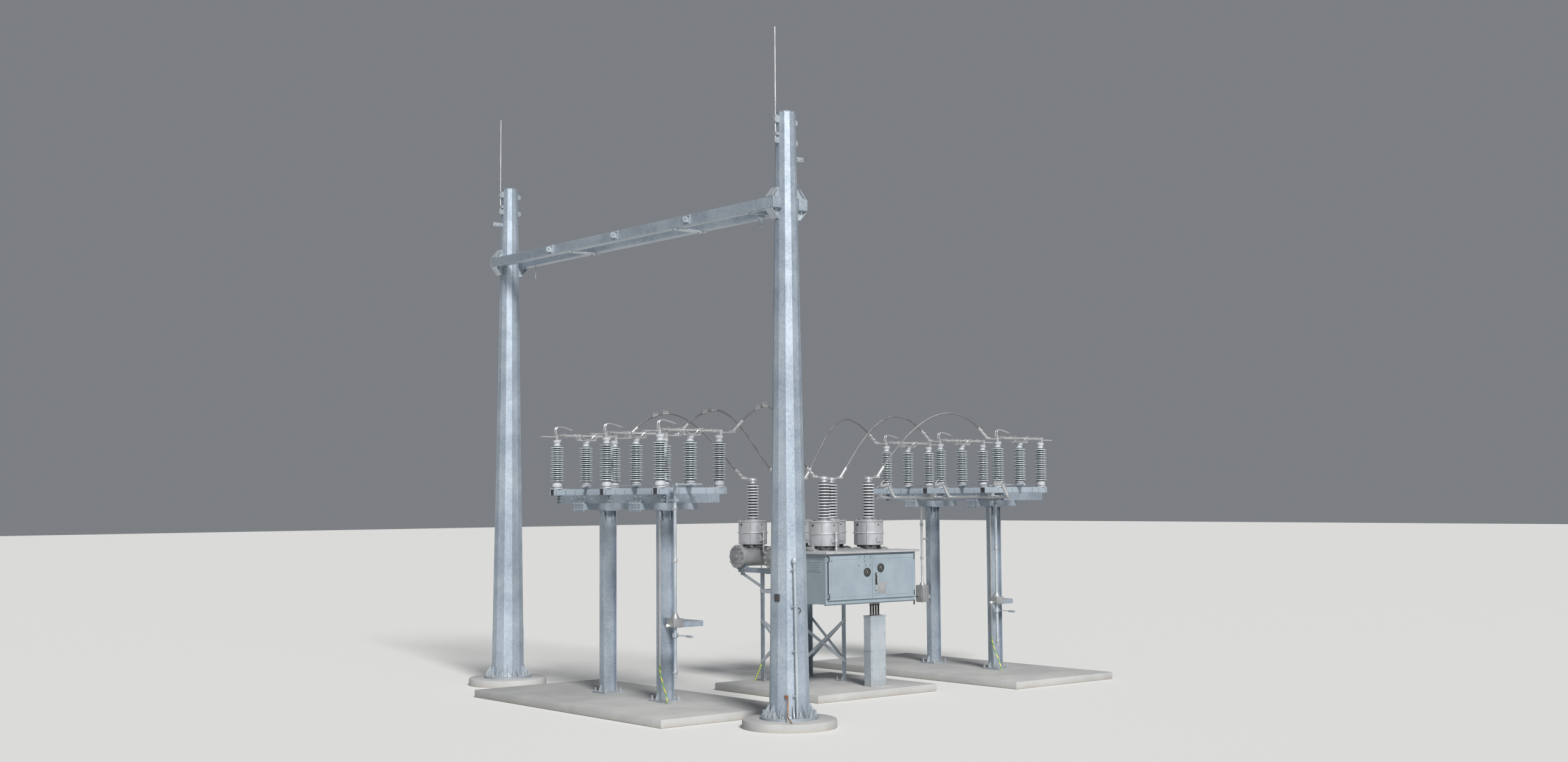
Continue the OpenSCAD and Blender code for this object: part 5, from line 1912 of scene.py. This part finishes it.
@dataclass
class ControlCabinet:
    """Cabinet with two doors, its cable duct and what shows on them.

    Attributes:
        low: its lowest corner.
        high: its highest corner, without the roof.
        door_x: the doors' outer face.
        door_z: the doors' height range.
        parting: where the doors meet.
        rows: heights of the rails inside.
        duct_at: the duct's middle.
        duct_z: its height range.
        roof: the roof's ends along X and along Y.
        dials: place along the bay and height of each door's dial.
        screws: place along the bay and height of the left door's screws.
    """

    low: Point = (1.135, 2.37, 1.47)
    high: Point = (1.635, 4.29, 2.26)
    door_x: float = 1.662
    door_z: Span = (1.53, 2.215)
    parting: float = 3.33
    rows: tuple[float, ...] = (1.66, 1.86, 2.06)
    duct_at: Span = (1.385, 3.62)
    duct_z: Span = (0.12, 1.24)
    roof: tuple[Span, Span] = ((1.113, 1.697), (2.328, 4.332))
    dials: tuple[Span, Span] = ((3.212, 1.948), (3.502, 2.009))
    screws: tuple[Span, ...] = ((3.057, 2.19), (3.169, 2.19), (3.292, 2.19), (3.166, 2.122), (3.045, 2.052),
                                (3.183, 2.058), (3.29, 2.052), (2.477, 2.135))

    def housing(self) -> None:
        """Dress the housing and add the roof's drip edge, seams, side covers and mounting rails."""
        dress_nodes(Stock.enamel, "breaker_cabinet", "breaker_door_left", "breaker_door_right")
        edge, body, bolts = Work(), Work(), Work()
        (x0, x1), (y0, y1), z = *self.roof, self.high[2]
        drip = (z - 0.012, z + 0.022)
        edge.box((x1 - 0.004, x1), (y0, y1), drip, 0.001)
        for y in ((y0, y0 + 0.004), (y1 - 0.004, y1)):
            edge.box((x0, x1), y, drip, 0.001)
        for y in (2.99, 3.67):
            edge.box((x0 + 0.01, x1 - 0.01), about(y, 0.012), (z + 0.02, z + 0.028), 0.003, 2)
        edge.piece("cabinet_roof_edge", Stock.bright_bar)
        (lx, ly, lz), (hx, hy, _) = self.low, self.high
        for y, s in ((ly, -1), (hy, 1)):
            body.box((lx + 0.1, hx - 0.1), (y, y + s * 0.004), (lz + 0.5, lz + 0.68), 0.001)
            for k in range(6):
                slat_y, slat_z = y + s * 0.003, lz + 0.525 + k * 0.026
                body.rod((lx + 0.13, slat_y, slat_z), (hx - 0.13, slat_y, slat_z), 0.006, 8)
            cover = spots((lx + 0.115, lx + 0.385), y + s * 0.004, (lz + 0.515, lz + 0.665))
            bolts.bolts(cover, Axis.along_y(s), 0.008)
        for x in ((lx + 0.02, lx + 0.06), (hx - 0.06, hx - 0.02)):
            body.box(x, (ly + 0.02, hy - 0.02), (lz - 0.018, lz + 0.001), 0.002)
        body.piece("cabinet_panels", Stock.enamel)
        bolts.bolts(spots(lx, (2.52, 2.66, 3.92, 4.06), (1.93, 2.1)), Axis.MINUS_X, 0.014)
        bolts.piece("cabinet_bolts", Stock.bolt_zinc)

    def inside(self) -> None:
        """Fit the mounting plate, rails, relays, switches and cable ways behind the doors."""
        x = self.low[0] + 0.02
        plate, gear, dark = Work(), Work(), Work()
        deep, high = ((self.low[axis] + 0.08, self.high[axis] - 0.08) for axis in (1, 2))
        plate.box((x, x + 0.004), deep, high, 0.001)
        for row, z in enumerate(self.rows):
            plate.box((x + 0.004, x + 0.012), (3.42, 4.14), about(z, 0.018), 0.001)
            y = 3.44
            for k in range(9):
                wide = 0.05 + 0.03 * ((k * 2 + row) % 3)
                chosen = dark if (k + row) % 3 else gear
                chosen.box((x + 0.01, x + 0.09), (y, y + wide), about(z, 0.045), 0.004, 2)
                y += wide + 0.006
                if y > 4.02:
                    break
        plate.bolts(spots(x + 0.004, (2.5, 3.33, 4.16), (1.6, 2.14)), Axis.PLUS_X, 0.014)
        plate.piece("cabinet_plate", Stock.new_zinc)
        for z in (1.56, 1.76, 1.96, 2.15):
            gear.box((x + 0.004, x + 0.06), (3.4, 4.18), about(z, 0.02), 0.003)
        gear.piece("cabinet_relays", Stock.ivory)
        dark.piece("cabinet_switches", Stock.plastic)

    def spring_drive(self) -> None:
        """Fit the charging spring with its frame, wheel and motor."""
        x, y = self.low[0] + 0.02, 2.98
        drive = Work()
        for low, high in ((0.004, 0.03), (0.2, 0.215)):
            drive.box((x + low, x + high), (2.62, 3.2), (1.62, 2.1), 0.004)
        for post_y, z in product((2.66, 3.16), (1.66, 2.06)):
            drive.rod((x + 0.03, post_y, z), (x + 0.2, post_y, z), 0.012, 14)
        coil = [(0.045, 0), (0.057, 0.004), (0.057, 0.012), (0.045, 0.016)]
        for turn in range(7):
            drive.turned(coil, (x + 0.115, 2.7 + turn * 0.028, 1.74), Axis.PLUS_Y, 28)
        wheel = [(0, 0), (0.11, 0), (0.115, 0.006), (0.115, 0.022), (0.1, 0.026), (0.03, 0.028),
                 (0.03, 0.05), (0, 0.05)]
        drive.turned(wheel, (x + 0.215, y, 1.92), Axis.PLUS_X, 40)
        drive.bolts(circle((x + 0.238, y, 1.92), 0.08, 6, Axis.PLUS_X), Axis.PLUS_X, 0.014)
        drive.rod((x + 0.1, y, 1.68), (x + 0.1, y + 0.16, 1.68), 0.05, 24, edge=0.006)
        drive.piece("cabinet_spring_drive", Stock.castings)

    def dial(self, side: str, y: float, z: float) -> None:
        """Put a round pressure dial on a door.

        Args:
            side: the door, "left" or "right".
            y: its place along the bay.
            z: its height.
        """
        rim, marks = Work(), Work()
        body, x = f"breaker_door_{side}", self.door_x
        ring = [(0, 0), (0.066, 0), (0.067, 0.003), (0.067, 0.018), (0.063, 0.022), (0.055, 0.022),
                (0.053, 0.014), (0, 0.014)]
        rim.turned(ring, (x - 0.001, y, z), Axis.PLUS_X, 40)
        rim.piece(f"{side}_dial_rim", Stock.rubber, body=body)
        face = Matrix.Translation((x + 0.0128, y, z)) @ Axis.PLUS_X.turn()
        for k in range(11):
            start = 0.042 if k % 5 else 0.039
            turn = placed((0, 0, 0), (27 * k - 135, "Z"))
            marks.box((-0.0006, 0.0006), (start, 0.046), (0, 0.0014), place=face @ turn)
        hand = [(-0.002, -0.012), (0.002, -0.012), (0.0008, 0.038), (-0.0008, 0.038)]
        marks.cut_plate(hand, 0.001, face @ placed((0, 0, 0.0007), (38, "Z")))
        marks.piece(f"{side}_dial_marks", Stock.ivory, body=body)

    def doors(self) -> None:
        """Add the doors' pressed panels, edges, hinge covers and dials."""
        x, (low, high) = self.door_x, self.door_z
        for name, s in (("left", -1), ("right", 1)):
            body = f"breaker_door_{name}"
            outer = self.parting + s * 0.92
            panel, covers = Work(), Work()
            panel.hoop((x - 0.002, x + 0.004), sorted((self.parting + s * 0.045, outer - s * 0.045)),
                       (low + 0.05, high - 0.05), 0.008, 0.0015, through=0)
            rim = (outer, outer - s * 0.02)
            panel.box((x - 0.022, x + 0.0015), rim, (low + 0.0005, high - 0.0005), 0.0015)
            panel.piece(f"{body}_beads", Stock.enamel, body=body)
            for z in (1.59, 2.165):
                covers.box((x - 0.001, x + 0.008), about(outer - s * 0.012, 0.008), about(z, 0.042), 0.002)
            covers.piece(f"{body}_hinge_covers", Stock.plastic, body=body)
        for side, at in zip(("left", "right"), self.dials):
            self.dial(side, *at)

    def left_door_gear(self) -> None:
        """Put the round screws on the left door."""
        screws = Work()
        head = [(0, 0), (0.009, 0), (0.009, 0.003), (0.005, 0.006), (0, 0.0065)]
        for y, z in self.screws:
            screws.turned(head, (self.door_x, y, z), Axis.PLUS_X, 16)
        screws.piece("left_door_screws", Stock.plastic, body="breaker_door_left")

    def right_door_gear(self) -> None:
        """Put the lever on its latch plate, the blank plate and the lock on the right door."""
        latch, lever, plate, lock = (Work() for _ in range(4))
        x, y, body = self.door_x, 3.412, "breaker_door_right"
        latch.box((x - 0.001, x + 0.006), about(y, 0.024), (1.745, 1.93), 0.003)
        boss = [(0, 0), (0.02, 0), (0.02, 0.018), (0.015, 0.022), (0, 0.022)]
        latch.turned(boss, (x + 0.005, y, 1.905), Axis.PLUS_X, 20)
        latch.piece("right_door_latch_plate", Stock.plastic, body=body)
        knob = [(0, 0), (0.02, 0), (0.021, 0.006), (0.016, 0.012), (0, 0.014)]
        lever.turned(knob, (x + 0.024, y, 1.905), Axis.PLUS_X, 20)
        lever.box((x + 0.026, x + 0.036), (3.402, 3.424), (1.77, 1.905), 0.004, 2)
        lever.box((x - 0.001, x + 0.016), (3.382, 3.422), (1.655, 1.722), 0.003, 2)
        lever.rod((x + 0.01, 3.402, 1.7), (x + 0.03, 3.402, 1.7), 0.008, 14, edge=0.002)
        lever.piece("right_door_lever", Stock.drum_sheet, body=body)
        plate.box((x - 0.001, x + 0.003), (3.437, 3.617), (1.6, 1.785), 0.001)
        plate.bolts(spots(x + 0.003, about(3.527, 0.08), about(1.692, 0.083)), Axis.PLUS_X, 0.005)
        plate.piece("right_door_plate", Stock.castings, body=body)
        lock.box((x - 0.001, x + 0.004), (3.376, 3.408), (2.046, 2.06), 0.001)
        barrel = [(0, 0), (0.01, 0), (0.01, 0.008), (0.006, 0.011), (0, 0.011)]
        lock.turned(barrel, (x, 3.36, 1.62), Axis.PLUS_X, 16)
        lock.piece("right_door_lock", Stock.bolt_zinc, body=body)

    def duct(self) -> None:
        """Replace the cable duct by a folded one, with its cables and gland plate."""
        x, y = self.duct_at
        low, top = self.duct_z
        sheet, cables, glands = Work(), Work(), Work()
        sheet.hoop(about(x, 0.075), about(y, 0.165), (low, top), 0.003, 0.0008)
        sheet.box(about(x, 0.073), about(y, 0.163), (low, low + 0.004), 0.0008)
        for z in (low, 0.68, top - 0.018):
            sheet.hoop(about(x, 0.082), about(y, 0.172), (z, z + 0.018), 0.008, 0.002)
        sheet.bolts(spots(x + 0.082, about(y, 0.14), (0.4, 0.95)), Axis.PLUS_X, 0.01)
        sheet.box((x + 0.0745, x + 0.078), about(y, 0.13), (0.2, 1.16), 0.002)
        sheet.piece("duct_sheet", Stock.new_zinc, "breaker_cable_duct")
        glands.box(about(x, 0.062), about(y, 0.122), (1.452, 1.4695), 0.002)
        for k in (-1.5, -0.5, 0.5, 1.5):
            at = y + k * 0.055
            cables.rod((x, at, 0.125), (x, at, 1.44), 0.0155, 14)
            cables.rod((x, at, 1.39), (x, at, 1.42), 0.0175, 14, 0.021)
            glands.rod((x, at, 1.42), (x, at, 1.438), 0.0245, 6, edge=0.002)
            glands.rod((x, at, 1.438), (x, at, 1.453), 0.0225, 18, edge=0.001)
        cables.piece("duct_cables", Stock.rubber, "breaker_cable_duct")
        glands.piece("duct_glands", Stock.bolt_zinc, "breaker_cable_duct")

    def build(self) -> None:
        """Build the cabinet, its doors and its duct."""
        self.housing()
        self.inside()
        self.spring_drive()
        self.doors()
        self.left_door_gear()
        self.right_door_gear()
        self.duct()


# Conductors


@dataclass(frozen=True)
class Arch:
    """The way that the conductors of one side run.

    Attributes:
        disconnector_y: where they start, on the disconnector.
        breaker_y: where they end, on the breaker.
        start_way: how far along Y and Z their starts point.
        end_way: how far along Y and Z their ends point.
        taps: which of their points carry a tap clamp.
    """

    disconnector_y: float
    breaker_y: float
    start_way: Span
    end_way: Span
    taps: tuple[int, ...] = ()


@dataclass
class Conductors:
    """Six stranded conductors between the disconnectors and the breaker.

    Attributes:
        radius: their radius over the strands.
        steps: how many stretches their routes have.
        phase_pitch: distance between them at the disconnectors.
        tank_pitch: distance between them at the breaker.
        disconnector_z: height of their starts.
        breaker_z: height of their ends.
        arches: the ways that they run.
    """

    radius: float = 0.016
    steps: int = 96
    phase_pitch: float = 1.4
    tank_pitch: float = 0.92
    disconnector_z: float = 4.1179
    breaker_z: float = 3.4593
    arches: tuple[Arch, ...] = (Arch(0.74, 2.77, (1.0, 1.0), (-0.7, 0.6), (19, 27)),
                                Arch(6.26, 4.13, (-1.0, 1.0), (0.5, 0.6)))

    def route(self, a: Vector, b: Vector, rise_a: Vector, rise_b: Vector) -> list[Vector]:
        """Points of one arch.

        Args:
            a: its end on the disconnector.
            b: its end on the breaker.
            rise_a: how its start rises.
            rise_b: how its end rises.

        Returns:
            The points.
        """
        points = []
        for k in range(self.steps + 1):
            t = k / self.steps
            u = 1 - t
            leaving = u ** 3 * a + 3 * u * u * t * (a + rise_a)
            points.append(leaving + 3 * u * t * t * (b + rise_b) + t ** 3 * b)
        return points

    def clamp(self, work: Work, points: Sequence[Vector], reach: float) -> None:
        """Add the bolted clamp that holds a conductor's end to its bar.

        Args:
            work: the piece.
            points: the route from this end on.
            reach: how far the barrel runs up the conductor.
        """
        foot = points[0]
        tip = [p for p in points if (p - foot).length <= reach + 0.03][-1]
        way = (tip - foot).normalized()
        work.box(about(foot.x, 0.03), about(foot.y, 0.05), (foot.z - 0.001, foot.z + 0.011), 0.002)
        work.bolts(spots(about(foot.x, 0.019), about(foot.y, 0.035), foot.z + 0.011), Axis.UP, 0.012, 0.006)
        work.rod(foot + way * 0.005, foot + way * reach, 0.025, 20, 0.023, 0.003)
        side = Vector((0.034, 0, 0))
        for share in (0.35, 0.75):
            middle = foot + way * reach * share
            work.rod(middle - side, middle + side, 0.014, 12, edge=0.002)
            work.bolt(middle + side, Axis.PLUS_X, 0.012)
            work.bolt(middle - side, Axis.MINUS_X, 0.012)

    def tap(self, work: Work, middle: Vector, ahead: Vector) -> None:
        """Add a parallel-groove tap clamp on a conductor: two jaws and two bolts.

        Args:
            work: the piece.
            middle: its place.
            ahead: a point further on along the conductor.
        """
        way = (ahead - middle).normalized()
        up = Vector((0, 0, 1))
        work.rod(middle - way * 0.055, middle + way * 0.055, 0.026, 16, edge=0.005)
        above = middle + up * 0.034
        work.rod(above - way * 0.05, above + way * 0.05, 0.014, 12, edge=0.004)
        for at in (middle - way * 0.028, middle + way * 0.028):
            work.rod(at - up * 0.034, at + up * 0.056, 0.009, 10)
            work.bolt(at + up * 0.05, Axis.UP, 0.014, 0.012)
            work.bolt(at - up * 0.026, Axis.DOWN, 0.014, 0.006)

    def build(self) -> None:
        """Lay the conductors, their clamps and their taps."""
        ropes, clamps, taps = Work(), Work(), Work()
        for k, arch in product((-1, 0, 1), self.arches):
            a = Vector((k * self.phase_pitch, arch.disconnector_y, self.disconnector_z))
            b = Vector((k * self.tank_pitch, arch.breaker_y, self.breaker_z))
            points = self.route(a, b, Vector((0, *arch.start_way)), Vector((0, *arch.end_way)))
            ropes.rope(points, self.radius, 12, 0.34)
            self.clamp(clamps, points, 0.27)
            self.clamp(clamps, points[::-1], 0.22)
            for index in arch.taps:
                self.tap(taps, points[index], points[index + 1])
        ropes.piece("conductor_ropes", Stock.strand, "conductors", crease=70)
        clamps.piece("conductor_clamps", Stock.bright_bar)
        taps.piece("conductor_taps", Stock.castings)


def main() -> None:
    """Build every sub-assembly in order."""
    logging.basicConfig(level=logging.INFO, format="%(name)s: %(message)s")
    Studio().build()
    Footings().build()
    Gantry().build()
    Disconnector("line", -0.05, (1.6, -0.42)).build()
    Disconnector("bus", 7.05, (1.1, -0.3), front=0.295).build()
    dress_nodes(Stock.beam_zinc, "disconnector_columns", "disconnector_cross_arms", "drive_brackets")
    EarthingSwitch().build()
    Breaker().build()
    ControlCabinet().build()
    Conductors().build()


if __name__ == "__main__":
    main()
